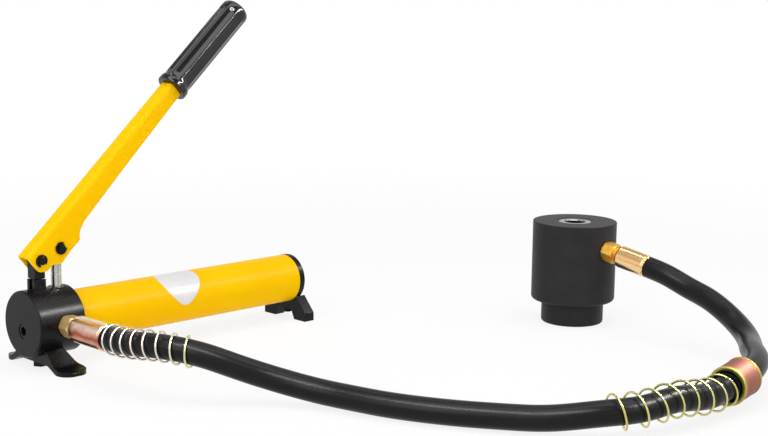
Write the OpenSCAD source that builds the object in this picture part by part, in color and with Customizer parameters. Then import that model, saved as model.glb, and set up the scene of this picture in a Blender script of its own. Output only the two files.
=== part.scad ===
// Hydraulic hole punch: a hand pump, a hose with a screw coupler and a hollow punch head.
// The origin is the centre of the punch head's base, on the floor. The pump lies along X.

/* [Punch head] */
// Radius of the punch head's cylinder
punch_r = 44.4; // [43:0.1:48]
// Height from the base to the die face
punch_h = 109; // [105:0.5:118]
// Radius of the neck, which is the outside of the screwed end cap
neck_r = 33; // [32:0.25:35]
// Height of the neck
neck_h = 24; // [20:0.5:26]
// Radius of the cylinder bore that the ram's piston slides in
bore_r = 31; // [29:0.25:32]
// Thickness of the wall under the die face
top_wall = 16; // [14:0.5:18]
// Radius of the ram's rod
ram_r = 18; // [16:0.25:20]
// Radius of the thread bore in the ram, for the draw stud
stud_bore_r = 11; // [9:0.25:12]
// Depth of the thread bore
stud_bore_depth = 42; // [30:1:44]
// Stroke of the ram
ram_stroke = 22; // [14:1:22]
// Radius of the return spring's coil, at the wire's centre
return_coil_r = 24.5; // [23:0.1:26]
// Radius of the return spring's wire
return_wire_r = 2.2; // [1.5:0.1:2.6]
// Turns of the return spring
return_turns = 6; // [5:1:7]
// Height of the hose port's axis, where it meets the cylinder's axis
punch_port_z = 90; // [88:0.5:92]
// Slope of the hose port, down from level
punch_port_tilt = 10; // [4:1:12]

/* [Pump head] */
// Radius of the pump head
pump_r = 31.5; // [30:0.25:34]
// Length of the pump head
pump_len = 48.5; // [47:0.5:56]
// Height of the pump's long axis
axis_h = 43; // [41:0.5:48]
// Place of the plunger, back from the front face
plunger_x = 37; // [36:0.25:38]
// Radius of the plunger
plunger_r = 5; // [4:0.1:5.5]
// Height of the plunger's lower tip
plunger_tip_z = 43; // [42:0.5:46]
// Place of the hose port, back from the front face
pump_port_x = 29; // [28.5:0.25:30]
// Radius of both hose port threads
port_thread_r = 6.6; // [5.5:0.1:7]
// Radius of the hex-socket plug in the front face
plug_r = 7.2; // [6:0.1:8]
// Drop of the plug below the pump's axis
plug_drop = 6.5; // [5:0.25:8]
// Radius of the check balls
ball_r = 3.6; // [3:0.1:3.8]
// Lift of the check balls off their seats
ball_lift = 0.8; // [0.5:0.1:1.2]
// Place of the release valve, back from the front face
release_x = 24.25; // [23.75:0.25:24.5]
// Radius of the release valve's spindle
release_r = 5; // [4:0.1:5.5]
// Radius of the release valve's knob
release_knob_r = 10; // [9:0.25:12]
// Length of the release valve's knob
knob_len = 12; // [10:0.5:16]

/* [Reservoir] */
// Outer radius of the reservoir tube
tube_r = 25; // [24:0.25:28]
// Wall of the reservoir tube
tube_wall = 3; // [2:0.25:3.5]
// Length of the reservoir tube
tube_len = 272; // [200:1:320]
// Thickness of the end cap's visible rim
cap_len = 7.8; // [7:0.1:12]
// Depth of the spigots inside the tube
spigot_len = 13; // [12:0.5:16]
// Radius of the tie rod
tie_r = 4; // [3:0.25:4.5]
// Metal between the filler plug's thread and the end cap's seal groove
filler_land = 0.5; // [0.4:0.1:0.8]
// Radius of the filler plug's thread
filler_r = 5; // [4:0.25:5]
// Radius of the suction tube
suction_r = 3.6; // [3:0.1:3.8]
// Radius of the round label on the tube
label_r = 23.7; // [15:0.1:24.5]

/* [Lever] */
// Angle of the lever above level
lever_angle = 42.6; // [40:0.1:44]
// Length of the lever channel beyond its front pin
lever_len = 217; // [180:1:260]
// Width of the lever channel
lever_w = 18; // [17:0.25:20]
// Thickness of the lever's sheet
sheet = 2.5; // [2:0.1:2.6]
// Distance from the front pin to the channel's closed back
back_off = 13.8; // [13:0.1:15]
// Radius of both lever pins
pin_r = 3.5; // [3:0.1:3.8]
// Height of the front lever pin
front_pin_z = 102.2; // [101:0.1:104]
// Height of the rear lever pin
rear_pin_z = 111.6; // [111:0.1:113]
// Place of the front lever pin, back from the pump's front face
front_pin_x = 15.8; // [15:0.1:16.5]
// Distance between the link's two pins
link_len = 22.7; // [22:0.1:23.5]
// Play of the rear pin in the lever, which takes up the link's arc
rear_pin_play = 1.5; // [1.4:0.05:1.6]
// Radius of the grip
grip_r = 14.5; // [13:0.25:17]
// Length of the grip
grip_len = 114; // [95:1:130]
// Radius of the rod inside the grip
rod_r = 6.4; // [5:0.1:6.5]

/* [Feet] */
// Half the span of the front foot
front_foot_half = 53; // [44:1:56]
// Length of the front foot along the pump
front_foot_len = 29; // [24:1:32]
// Half the span of the rear foot
rear_foot_half = 33; // [30:0.5:38]
// Length of the rear foot along the pump
rear_foot_len = 12; // [10:0.5:16]

/* [Hose] */
// Outer radius of the hose
hose_r = 11; // [9:0.25:11.4]
// Across-flats size of the two hose nuts
nut_flats = 19; // [18:0.5:20]
// Length of the hose nuts
nut_len = 14; // [12:0.5:15]
// Radius of the pump-end ferrule
pump_ferrule_r = 12.7; // [12:0.1:13]
// Radius of the head-end ferrule
punch_ferrule_r = 11.6; // [11.5:0.1:13]
// Distance from the pump's axis to the end of its ferrule
pump_ferrule_end = 96; // [92:1:100]
// Distance along the port from the punch head's axis to the end of its ferrule
punch_ferrule_end = 97.5; // [94:0.5:100]
// Radius of the coupler sleeve
sleeve_r = 17.6; // [16.5:0.1:17.8]
// Length of the coupler
coupler_len = 32; // [24:0.5:36]
// Radius of the wire in both guard springs
guard_wire_r = 1; // [0.8:0.05:1.2]
// Radius of the guard spring at the pump, at the wire's centre
pump_guard_r = 13.2; // [12.8:0.1:15.5]
// Radius of the guard spring at the coupler, at the wire's centre
coupler_guard_r = 14.9; // [14.2:0.1:16]
// Curls in each guard spring
guard_curls = 8; // [5:1:9]

/* [Hidden] */

$fn = 96;
// Clearances: running fits, thread and press contact, and open gaps between moving faces
run = 0.05;
snug = 0.02;
gap = 0.3;
over = 1;
// Colours
blacked_steel = "#2d2b2e";
yellow_paint = "#f6c400";
bright_steel = "#b9b7b4";
zinc = "#c9a860";
rubber = "#1c1b1c";

// The pump's place: its front face, and its long axis beside the punch head
pump_front = [-540, 218, 0];
spigot_r = tube_r - tube_wall - snug;
tube_x1 = pump_len + tube_len;
cap_x1 = tube_x1 + cap_len;
head_top_z = axis_h + pump_r;
oring_depth = 1.8;
oring_root_r = spigot_r - oring_depth;
suction_z = axis_h - (oring_root_r - suction_r - 0.5);
barrel_floor_z = suction_z - 3;

module at_pump() {
    translate(pump_front)
    children();
}
module bar_x(r, x0, x1, y = 0, z = axis_h) {
    translate([x0, y, z])
    rotate([0, 90, 0])
    cylinder(r = r, h = x1 - x0);
}
module bar_y(r, y0, y1, x, z = axis_h) {
    translate([x, y0, z])
    rotate([-90, 0, 0])
    cylinder(r = r, h = y1 - y0);
}
module bar_z(r, z0, z1, x = 0, y = 0) {
    translate([x, y, z0])
    cylinder(r = r, h = z1 - z0);
}
module ring_x(r1, r0, x0, x1, y = 0, z = axis_h) {
    difference() {
        bar_x(r1, x0, x1, y, z);
        bar_x(r0, x0 - over, x1 + over, y, z);
    }
}
module ring_z(r1, r0, z0, z1, x = 0, y = 0) {
    difference() {
        bar_z(r1, z0, z1, x, y);
        bar_z(r0, z0 - over, z1 + over, x, y);
    }
}
// A round bar along X with chamfered ends
module chamfered_x(r, x0, x1, c0, c1) {
    translate([x0, 0, axis_h])
    rotate([0, 90, 0])
    rotate_extrude()
    polygon([[0, 0], [r - c0, 0], [r, c0], [r, x1 - x0 - c1], [r - c1, x1 - x0], [0, x1 - x0]]);
}
// A hexagonal prism along Z, given its size across flats
module hex_z(flats, h) {
    cylinder(r = flats / 2 / cos(30), h = h, $fn = 6);
}

// Rounded outlines: each point is [x, y, corner radius]
function unit(v) = v / norm(v);
function flat(p) = [p[0], p[1]];
function corner(a, p, b, r, n) =
    r <= 0 ? [p] :
    let (
        u = unit(a - p),
        v = unit(b - p),
        half = acos(u * v) / 2,
        c = p + unit(u + v) * r / sin(half),
        s = p + u * r / tan(half) - c,
        e = p + v * r / tan(half) - c,
        a0 = atan2(s[1], s[0]),
        turn = (atan2(e[1], e[0]) - a0 + 540) % 360 - 180
    )
    [for (i = [0:n]) c + r * [cos(a0 + turn * i / n), sin(a0 + turn * i / n)]];
function rounded(pts, n = 6) =
    let (m = len(pts))
    [for (i = [0:m - 1])
        each corner(flat(pts[(i + m - 1) % m]), flat(pts[i]), flat(pts[(i + 1) % m]), pts[i][2], n)];

// Tubes swept along a line: rings of points, closed at both ends
function ring_faces(rings, sides) = [
    for (i = [0:rings - 2])
        for (j = [0:sides - 1])
            let (
                a = i * sides + j,
                b = i * sides + (j + 1) % sides
            )
            each [[a, b, b + sides], [a, b + sides, a + sides]]
];
function cap_faces(rings, sides) = concat(
    [for (j = [1:sides - 2]) [0, j + 1, j]],
    [for (j = [1:sides - 2]) let (k = (rings - 1) * sides) [k, k + j, k + j + 1]]
);
module swept(rings) {
    sides = len(rings[0]);
    polyhedron(
        points = [for (r = rings) each r],
        faces = concat(ring_faces(len(rings), sides), cap_faces(len(rings), sides))
    );
}
function circle_ring(c, e1, e2, r, sides) =
    [for (j = [0:sides - 1]) c + r * (cos(360 * j / sides) * e1 + sin(360 * j / sides) * e2)];

// A smooth line that the route's points pull, starting and ending on its own end points
function ends_added(p) =
    let (n = len(p))
    concat([2 * p[0] - p[1]], p, [2 * p[n - 1] - p[n - 2]]);
function blend(w, q, i) = w[0] * q[i] + w[1] * q[i + 1] + w[2] * q[i + 2] + w[3] * q[i + 3];
function route_at(p, s) =
    let (
        q = ends_added(p),
        i = min(floor(s), len(p) - 2),
        t = s - i
    )
    blend([pow(1 - t, 3), 3 * pow(t, 3) - 6 * t * t + 4,
        -3 * pow(t, 3) + 3 * t * t + 3 * t + 1, pow(t, 3)] / 6, q, i);
function route_dir(p, s) =
    let (
        q = ends_added(p),
        i = min(floor(s), len(p) - 2),
        t = s - i
    )
    unit(blend([-pow(1 - t, 2), 3 * t * t - 4 * t, -3 * t * t + 2 * t + 1, t * t] / 2, q, i));
function side_of(d) = unit(cross([0, 0, 1], d));
function hose_ring(c, d, sides) = circle_ring(c, side_of(d), cross(d, side_of(d)), hose_r, sides);
// The end rings are square to what the hose meets
rings_a_span = 2;
module hose(p, start_dir, end_dir, sides = 12) {
    n = (len(p) - 1) * rings_a_span;
    swept([for (i = [0:n])
        let (s = i / rings_a_span)
        hose_ring(route_at(p, s), i == 0 ? start_dir : i == n ? end_dir : route_dir(p, s), sides)]);
}

// Wire wound round a route: the wire's centre at a given place along it
steps_a_curl = 12;
function wound_at(p, s, s0, s1, curls, r) =
    let (
        d = route_dir(p, s),
        a = 360 * curls * (s - s0) / (s1 - s0)
    )
    route_at(p, s) + r * (cos(a) * side_of(d) + sin(a) * cross(d, side_of(d)));
function wound_line(p, s0, s1, curls, r) =
    let (n = curls * steps_a_curl)
    [for (i = [0:n]) wound_at(p, s0 + (s1 - s0) * i / n, s0, s1, curls, r)];
function line_dir(q, i) = unit(q[min(i + 1, len(q) - 1)] - q[max(i - 1, 0)]);
function wire_ring(c, d, r) =
    let (e = unit(cross(d, [0.31, 0.22, 0.92])))
    circle_ring(c, e, cross(d, e), r, 6);
// The first and last stretch run straight for one wire diameter
function straight_ends(q, r) =
    let (n = len(q))
    concat([q[0] - line_dir(q, 0) * 2 * r], q, [q[n - 1] + line_dir(q, n - 1) * 2 * r]);
function least_gap(q, r) =
    let (half = steps_a_curl / 2)
    min([for (i = [0:len(q) - 1]) for (j = [i + half:1:min(i + 3 * half, len(q) - 1)]) norm(q[i] - q[j])]) - 2 * r;
module wire(q, r) {
    s = straight_ends(q, r);
    swept([for (i = [0:len(s) - 1]) wire_ring(s[i], line_dir(s, i), r)]);
}

// The hose's route, from the pump's ferrule to the coupler and on to the punch head's ferrule
pump_port_y = pump_front[1];
coupler_start = [-170.4, -300.6, 22.3];
coupler_yaw = 6.1;
coupler_pitch = 5.5;
coupler_dir = [cos(coupler_yaw) * cos(coupler_pitch), sin(coupler_yaw) * cos(coupler_pitch), sin(coupler_pitch)];
coupler_end = coupler_start + coupler_len * coupler_dir;
// Straight reach of the hose's pull before and after the coupler
lead_in = 34.8;
lead_out = 19.2;
punch_port_dir = [0, -cos(punch_port_tilt), -sin(punch_port_tilt)];
main_route = [
    [pump_front[0] + pump_port_x, pump_port_y - pump_ferrule_end, axis_h],
    [-510.3, 96, 43], [-507, 69.5, 46.6], [-497.5, 44.3, 46.7], [-482.9, 21.8, 42.6], [-465, 3.3, 33.3],
    [-445.5, -13.4, 24.3], [-430.1, -35, 18], [-417.1, -59.1, 13.6], [-408.3, -85.3, 12.6], [-399, -115, 11.5],
    [-386, -147, 11.5], [-370, -178, 11.5], [-351, -208, 12], [-333.1, -239.3, 13], [-308, -273.3, 21.1],
    [-276.8, -291.9, 21], [-241.3, -297.6, 26.8], coupler_start - lead_in * coupler_dir, coupler_start];
tail_route = [
    coupler_end, coupler_end + lead_out * coupler_dir, [-91.5, -283.4, 29.2], [-66.8, -259.8, 29.1],
    [-42.5, -245.3, 26.2], [-21.1, -226.2, 30.7], [-6.1, -200.3, 39.7], [-1.1, -171.4, 53], [2.3, -144.5, 58],
    [0, -120.7, 68.6], [0, 0, punch_port_z] + punch_ferrule_end * punch_port_dir];
pump_guard_span = [0.08, 3.75];
coupler_guard_span = [15.15, 18.94];
pump_guard_line = wound_line(main_route, pump_guard_span[0], pump_guard_span[1], guard_curls, pump_guard_r);
coupler_guard_line =
    wound_line(main_route, coupler_guard_span[0], coupler_guard_span[1], guard_curls, coupler_guard_r);
echo(least_gap_pump_guard = least_gap(pump_guard_line, guard_wire_r));
echo(least_gap_coupler_guard = least_gap(coupler_guard_line, guard_wire_r));
echo(coupler_guard_low_point = min([for (q = coupler_guard_line) q[2]]) - guard_wire_r);

// Pump head: bores for the plunger, the ports, the relief valve, the release valve and the oil ways
barrel_r = plunger_r + run;
gland_r = plunger_r + 3.4;
gland_depth = 10;
gland_z0 = head_top_z - gland_depth;
gland_top = head_top_z - 0.3;
seal_r = plunger_r + 2.2;
seal_h = 6;
plug_z = axis_h - plug_drop;
plug_x0 = 0.6;
plug_len = 8.4;
relief_r = 3.7;
relief_x1 = plunger_x - barrel_r - 4;
relief_ball_r = 2.5;
lug_len = 12.2;
lug_w = 12.6;
lug_base_z = head_top_z - 3;
lug_stud_r = 5;
lug_stud_len = 15;
lug_stud_z = lug_base_z - lug_stud_len;
port_seat_y = -15;
ball_pocket_r = ball_r + 0.5;
ball_pocket_len = 2 * ball_r + ball_lift + 0.2;
seat_r = 2;
port_face = pump_r - 1.8;
nut_pocket_r = nut_flats * 0.62;
foot_bolt_r = 4;
inlet_x0 = plunger_x + barrel_r + 1.2;
suction_x0 = inlet_x0 + ball_pocket_len;
release_tip_y = 8;
release_floor_y = release_tip_y + seat_r - gap;
return_y = release_floor_y + seat_r + 0.5;
module pump_head() {
    color(blacked_steel)
    at_pump()
    difference() {
        union() {
            chamfered_x(pump_r, 0, pump_len, 1.2, 1.2);
            bar_x(spigot_r, pump_len - over, pump_len + spigot_len);
        }
        ring_x(spigot_r + over, oring_root_r, oring_front_x, oring_front_x + oring_w + gap);
        bar_z(barrel_r, barrel_floor_z, head_top_z + over, plunger_x);
        bar_z(seal_r, gland_z0 - seal_h, head_top_z + over, plunger_x);
        bar_z(gland_r, gland_z0, head_top_z + over, plunger_x);
        bar_x(plug_r + snug, -over, plug_x0 + plug_len, 0, plug_z);
        bar_x(relief_r, plug_x0 + plug_len - over, relief_x1, 0, plug_z);
        bar_x(1.5, relief_x1 - over, plunger_x, 0, plug_z);
        translate([front_pin_x - lug_len / 2 - snug, -lug_w / 2 - snug, lug_base_z])
        cube([lug_len + 2 * snug, lug_w + 2 * snug, head_top_z]);
        bar_z(lug_stud_r + snug, lug_stud_z, head_top_z, front_pin_x);
        bar_y(port_thread_r + snug, -pump_r - over, port_seat_y - ball_pocket_len, pump_port_x);
        bar_y(ball_pocket_r, -pump_r, port_seat_y, pump_port_x);
        bar_y(nut_pocket_r, -pump_r - over, -port_face, pump_port_x);
        outlet_way();
        bar_x(seat_r, plunger_x, inlet_x0 + over, 0, suction_z);
        bar_x(ball_pocket_r, inlet_x0, suction_x0, 0, suction_z);
        bar_x(suction_r + snug, suction_x0 - 0.01, pump_len + spigot_len + over, 0, suction_z);
        bar_y(release_r + run, release_floor_y, pump_r + over, release_x);
        bar_y(seat_r, port_seat_y - 2, release_floor_y + over, release_x);
        bar_x(seat_r, release_x, pump_len + spigot_len + over, return_y);
        bar_x(tie_r + snug, pump_len, pump_len + spigot_len + over);
        bar_z(foot_bolt_r + snug, -over, axis_h - pump_r + foot_bolt_depth, foot_x);
    }
}
// Drilled way from the foot of the plunger's barrel up to the outlet ball's seat
module outlet_way() {
    low = [plunger_x, 0, barrel_floor_z + 4];
    high = [pump_port_x, port_seat_y, axis_h];
    run_dir = low - high;
    translate(high - unit(run_dir) * 2)
    rotate([0, acos(run_dir[2] / norm(run_dir)), atan2(run_dir[1], run_dir[0])])
    cylinder(r = seat_r, h = norm(run_dir) + 2);
}
// Distance from a seat's face to the centre of a ball resting on the seat's edge
function ball_stand_off(hole_r) = sqrt(ball_r * ball_r - hole_r * hole_r) + run;
module front_plug() {
    color(blacked_steel)
    at_pump()
    difference() {
        bar_x(plug_r, plug_x0, plug_x0 + plug_len, 0, plug_z);
        translate([plug_x0 - over, 0, plug_z])
        rotate([0, 90, 0])
        hex_z(plug_r * 1.1, 5 + over);
    }
}
relief_ball_x = relief_x1 - relief_ball_r + 0.4;
relief_curls = 5;
relief_coil_r = 2.9;
relief_wire_r = 0.45;
relief_spring_x0 = plug_x0 + plug_len + 2 * relief_wire_r;
relief_spring_len = relief_ball_x - relief_spring_x0 - 2.7;
relief_line = [for (i = [0:relief_curls * steps_a_curl])
    let (a = 360 * i / steps_a_curl)
    [relief_spring_x0 + relief_spring_len * i / (relief_curls * steps_a_curl),
        relief_coil_r * cos(a), plug_z + relief_coil_r * sin(a)]];
module relief_spring() {
    color(bright_steel)
    at_pump()
    wire(relief_line, relief_wire_r);
}
module relief_ball() {
    color(bright_steel)
    at_pump()
    translate([relief_ball_x - 0.4, 0, plug_z])
    sphere(r = relief_ball_r);
}
module inlet_ball() {
    color(bright_steel)
    at_pump()
    translate([suction_x0 - ball_stand_off(suction_r - suction_wall), 0, suction_z])
    sphere(r = ball_r);
}
module outlet_ball() {
    color(bright_steel)
    at_pump()
    translate([pump_port_x, port_seat_y - ball_stand_off(seat_r), axis_h])
    sphere(r = ball_r);
}
module gland_nut() {
    color(blacked_steel)
    at_pump()
    difference() {
        bar_z(gland_r - snug, gland_z0, gland_top, plunger_x);
        bar_z(plunger_r + run, gland_z0 - over, head_top_z + 3, plunger_x);
        for (a = [0:90:270]) {
            translate([plunger_x, 0, gland_top - 1.2])
            rotate([0, 0, a + 45])
            translate([gland_r - 2, -1, 0])
            cube([3, 2, 3]);
        }
    }
}
module plunger_seal() {
    color(rubber)
    at_pump()
    ring_z(seal_r - snug, plunger_r + run, gland_z0 - seal_h, gland_z0, plunger_x);
}

// Plunger: a rod with a flat-sided eye that sits between the lever's flanges
inner_w = lever_w - 2 * sheet;
eye_play = 0.7;
eye_w = inner_w - 2 * eye_play;
eye_wall = 4.2;
eye_r = pin_r + eye_wall;
groove_rise = 11.5;
groove_depth = 0.6;
groove_h = 1.4;
groove_z = head_top_z + groove_rise;
module plunger() {
    color(bright_steel)
    at_pump()
    difference() {
        union() {
            bar_z(plunger_r, plunger_tip_z, rear_pin_z, plunger_x);
            bar_y(eye_r, -eye_w / 2, eye_w / 2, plunger_x, rear_pin_z);
        }
        bar_y(pin_r + snug, -eye_w, eye_w, plunger_x, rear_pin_z);
        ring_z(plunger_r + over, plunger_r - groove_depth, groove_z, groove_z + groove_h, plunger_x);
    }
}

// Link lug: a square clevis let into the pump head, with a stud below and a dowel for the link
link_pin_z = front_pin_z - link_len;
link_pin_r = 2.5;
lug_gap = 5.2;
ear_rise = 4.6;
ear_top_z = link_pin_z + ear_rise;
tongue_r = link_pin_r + 1.9;
module link_lug() {
    color(blacked_steel)
    at_pump()
    difference() {
        union() {
            bar_z(lug_stud_r, lug_stud_z, lug_base_z + over, front_pin_x);
            translate([front_pin_x - lug_len / 2, -lug_w / 2, lug_base_z])
            cube([lug_len, lug_w, ear_top_z - lug_base_z]);
        }
        translate([front_pin_x - lug_len, -lug_gap / 2, link_pin_z - tongue_r - gap])
        cube([2 * lug_len, lug_gap, lug_len]);
        bar_y(link_pin_r + snug, -lug_w, lug_w, front_pin_x, link_pin_z);
    }
}
module link_pin() {
    color(blacked_steel)
    at_pump()
    bar_y(link_pin_r, -lug_w / 2 + gap, lug_w / 2 - gap, front_pin_x, link_pin_z);
}
clip_t = 0.9;
// A pin along Y with a groove near each end for its clip
module grooved_pin(r, seat, x, z) {
    difference() {
        bar_y(r, -seat - clip_t - 1.5, seat + clip_t + 1.5, x, z);
        for (s = [-1, 1]) {
            translate([x, s * (seat + clip_t / 2), z])
            rotate([90, 0, 0])
            difference() {
                cylinder(r = r + over, h = clip_t, center = true);
                cylinder(r = r * 0.72, h = clip_t + 2, center = true);
            }
        }
    }
}
// Two E-shaped clips, open towards one side, with three lands on the pin
module e_clips(r, seat, x, z, turn) {
    for (s = [-1, 1]) {
        translate([x, s * (seat + clip_t / 2), z])
        rotate([90, turn, 0])
        difference() {
            cylinder(r = r * 1.72, h = clip_t - 0.1, center = true);
            cylinder(r = r * 0.74, h = clip_t + 2, center = true);
            translate([0, 0, -over])
            linear_extrude(2 * over)
            polygon([[0, -r * 0.62], [r * 2, -r * 0.9], [r * 2, r * 0.9], [0, r * 0.62]]);
            for (a = [120, 240]) {
                rotate([0, 0, a])
                translate([r * 0.95, 0, 0])
                cylinder(r = r * 0.4, h = clip_t + 2, center = true);
            }
        }
    }
}

// Link: a bar with a tongue at its foot and an eye inside the lever at its top
link_w = inner_w - 1;
link_half = 5.4;
link_eye_r = pin_r + 2.6;
link_body_z = ear_top_z + 0.9;
module lever_link() {
    color(blacked_steel)
    at_pump()
    difference() {
        union() {
            bar_y(tongue_r, -lug_gap / 2 + gap, lug_gap / 2 - gap, front_pin_x, link_pin_z);
            translate([front_pin_x - tongue_r, -lug_gap / 2 + gap, link_pin_z])
            cube([2 * tongue_r, lug_gap - 2 * gap, link_body_z - link_pin_z + over]);
            translate([front_pin_x - link_half, -link_w / 2, link_body_z])
            cube([2 * link_half, link_w, front_pin_z - link_body_z]);
            bar_y(link_eye_r, -link_w / 2, link_w / 2, front_pin_x, front_pin_z);
        }
        bar_y(link_pin_r + run, -lug_w, lug_w, front_pin_x, link_pin_z);
        bar_y(pin_r + run, -lug_w, lug_w, front_pin_x, front_pin_z);
    }
}

// Lever frame: origin on the front pin, X along the lever, Y down and away, Z across the lever
module at_lever() {
    translate(pump_front + [front_pin_x, 0, front_pin_z])
    rotate([-90, -lever_angle, 0])
    children();
}
pin_step = [plunger_x - front_pin_x, rear_pin_z - front_pin_z];
rear_pin_u = pin_step[0] * cos(lever_angle) + pin_step[1] * sin(lever_angle);
rear_pin_v = pin_step[0] * sin(lever_angle) - pin_step[1] * cos(lever_angle);
back_r = 5;
flange_outline = [[-8, -back_off, 2], [-9, 6, 5], [-3, 12, 6], [5.5, 12.2, 6], [12.5, 18.8, 4],
    [28, 17.4, 8], [40.5, 18, 4], [46.5, 12, 5], [56, 8.6, 10], [77, 7.6, 0], [121, 5.6, 0],
    [lever_len, 2.2, 1.5], [lever_len, -back_off, 1]];
module lever_channel() {
    color(yellow_paint)
    at_lever()
    difference() {
        intersection() {
            translate([0, 0, -lever_w / 2])
            linear_extrude(lever_w)
            polygon(rounded(flange_outline));
            channel_section(lever_w / 2, -back_off, back_r);
        }
        channel_section(inner_w / 2, -back_off + sheet, back_r - sheet);
        cylinder(r = pin_r + snug, h = lever_w * 2, center = true);
        translate([rear_pin_u, rear_pin_v, 0])
        cylinder(r = pin_r + rear_pin_play, h = lever_w * 2, center = true);
    }
}
// The channel's section, square at its open side and rounded at its back, run along the lever
channel_reach = 20;
channel_side = 40;
module channel_section(half, back, r) {
    translate([lever_len + channel_reach, 0, 0])
    rotate([0, -90, 0])
    linear_extrude(lever_len + 3 * channel_reach)
    polygon(rounded([[-half, channel_side, 0], [-half, back, r], [half, back, r], [half, channel_side, 0]]));
}
rod_v = -back_off + sheet + rod_r + 0.05;
rod_u0 = lever_len - 40;
rod_u1 = lever_len + grip_len - 16;
module handle_rod() {
    color(bright_steel)
    at_lever()
    translate([rod_u0, rod_v, 0])
    rotate([0, 90, 0])
    cylinder(r = rod_r, h = rod_u1 - rod_u0);
}
grip_u0 = lever_len + 0.1;
bead_r = grip_r + 1.3;
bead_len = 7;
flute_r = 2.4;
flutes = 10;
module grip() {
    color("#141314")
    at_lever()
    translate([grip_u0, rod_v, 0])
    rotate([0, 90, 0])
    difference() {
        rotate_extrude()
        polygon(rounded([[rod_r + snug, 0, 0], [bead_r, 0, 1.5], [bead_r, bead_len, 2.5],
            [grip_r, bead_len + 2, 1], [grip_r, grip_len, 6], [0, grip_len, 0],
            [0, grip_len - 15, 0], [rod_r + snug, grip_len - 15, 0]]));
        for (a = [0:360 / flutes:359]) {
            rotate([0, 0, a])
            translate([grip_r + flute_r * 0.45, 0, bead_len + 7])
            cylinder(r = flute_r, h = grip_len - bead_len - 17, $fn = 32);
        }
    }
}
pin_seat = lever_w / 2 + gap;
front_clip_turn = 70;
rear_clip_turn = -30;
module front_lever_pin() {
    color(blacked_steel)
    at_pump()
    grooved_pin(pin_r, pin_seat, front_pin_x, front_pin_z);
}
module front_pin_clips() {
    color(blacked_steel)
    at_pump()
    e_clips(pin_r, pin_seat, front_pin_x, front_pin_z, front_clip_turn);
}
module rear_lever_pin() {
    color(blacked_steel)
    at_pump()
    grooved_pin(pin_r, pin_seat, plunger_x, rear_pin_z);
}
module rear_pin_clips() {
    color(blacked_steel)
    at_pump()
    e_clips(pin_r, pin_seat, plunger_x, rear_pin_z, rear_clip_turn);
}

// Release valve on the far side: a spindle with a pointed tip and a fluted knob
knob_y0 = pump_r + 2;
module release_spindle() {
    color(bright_steel)
    at_pump()
    translate([release_x, release_tip_y, axis_h])
    rotate([-90, 0, 0])
    rotate_extrude()
    polygon([[0, 0], [release_r, release_r], [release_r, knob_y0 + knob_len - release_tip_y - 4],
        [0, knob_y0 + knob_len - release_tip_y - 4]]);
}
module release_knob() {
    color(blacked_steel)
    at_pump()
    translate([release_x, knob_y0, axis_h])
    rotate([-90, 0, 0])
    difference() {
        rotate_extrude()
        polygon(rounded([[0, 0, 0], [release_knob_r, 0, 1], [release_knob_r, knob_len, 2],
            [0, knob_len, 0]]));
        translate([0, 0, -over])
        cylinder(r = release_r + snug, h = knob_len - 4 + over);
        for (a = [0:30:359]) {
            rotate([0, 0, a])
            translate([release_knob_r + 1, 0, -over])
            cylinder(r = 2.4, h = knob_len + 2 * over, $fn = 32);
        }
    }
}

// Reservoir: tube, seals, end cap, tie rod and nut, filler plug, suction tube and filter
oring_w = 2.4;
oring_front_x = pump_len + 4;
oring_rear_x = tube_x1 - 4 - oring_w - gap;
module reservoir_tube() {
    color(yellow_paint)
    at_pump()
    ring_x(tube_r, tube_r - tube_wall, pump_len, tube_x1);
}
module tube_orings() {
    color(rubber)
    at_pump()
    for (x = [oring_front_x, oring_rear_x]) {
        ring_x(spigot_r, oring_root_r, x + gap / 2, x + gap / 2 + oring_w);
    }
}
filler_z = axis_h + oring_root_r - filler_land - filler_r;
module end_cap() {
    color(blacked_steel)
    at_pump()
    difference() {
        union() {
            chamfered_x(tube_r + 0.2, tube_x1, cap_x1, 0.4, 1.5);
            bar_x(spigot_r, tube_x1 - spigot_len, tube_x1 + over);
        }
        ring_x(spigot_r + over, oring_root_r, oring_rear_x, oring_rear_x + oring_w + gap);
        bar_x(tie_r + snug, tube_x1 - spigot_len - over, cap_x1 + over);
        bar_x(filler_r + run, tube_x1 - spigot_len - over, cap_x1 + over, 0, filler_z);
        bar_z(rear_screw_r + snug, -over, rear_screw_top, rear_foot_x);
    }
}
module tie_rod() {
    color(bright_steel)
    at_pump()
    bar_x(tie_r, pump_len + 0.5, cap_x1 + 7);
}
tie_nut_flats = 11;
module tie_nut() {
    color(zinc)
    at_pump()
    translate([cap_x1, 0, axis_h])
    rotate([0, 90, 0])
    rotate([0, 0, 30])
    difference() {
        union() {
            hex_z(tie_nut_flats, 5);
            translate([0, 0, 5])
            intersection() {
                sphere(r = tie_nut_flats / 2);
                translate([0, 0, -0.5])
                cylinder(r = tie_nut_flats, h = tie_nut_flats);
            }
        }
        translate([0, 0, -over])
        cylinder(r = tie_r + snug, h = 7 + over);
    }
}
filler_head_r = filler_r + 1.5;
module filler_plug() {
    color(blacked_steel)
    at_pump()
    difference() {
        union() {
            bar_x(filler_r, tube_x1 - spigot_len + 1, cap_x1 + over, 0, filler_z);
            bar_x(filler_head_r, cap_x1 + gap, cap_x1 + 5, 0, filler_z);
        }
        translate([cap_x1 + 3, -filler_head_r - over, filler_z - 0.8])
        cube([3, 2 * filler_head_r + 2 * over, 1.6]);
    }
}
suction_wall = 1;
filter_r = 4.6;
filter_len = 17;
filter_grip = 4;
filter_x0 = tube_x1 - spigot_len - filter_len - 3;
module suction_tube() {
    color(bright_steel)
    at_pump()
    ring_x(suction_r, suction_r - suction_wall, suction_x0, filter_x0 + filter_grip, 0, suction_z);
}
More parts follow.
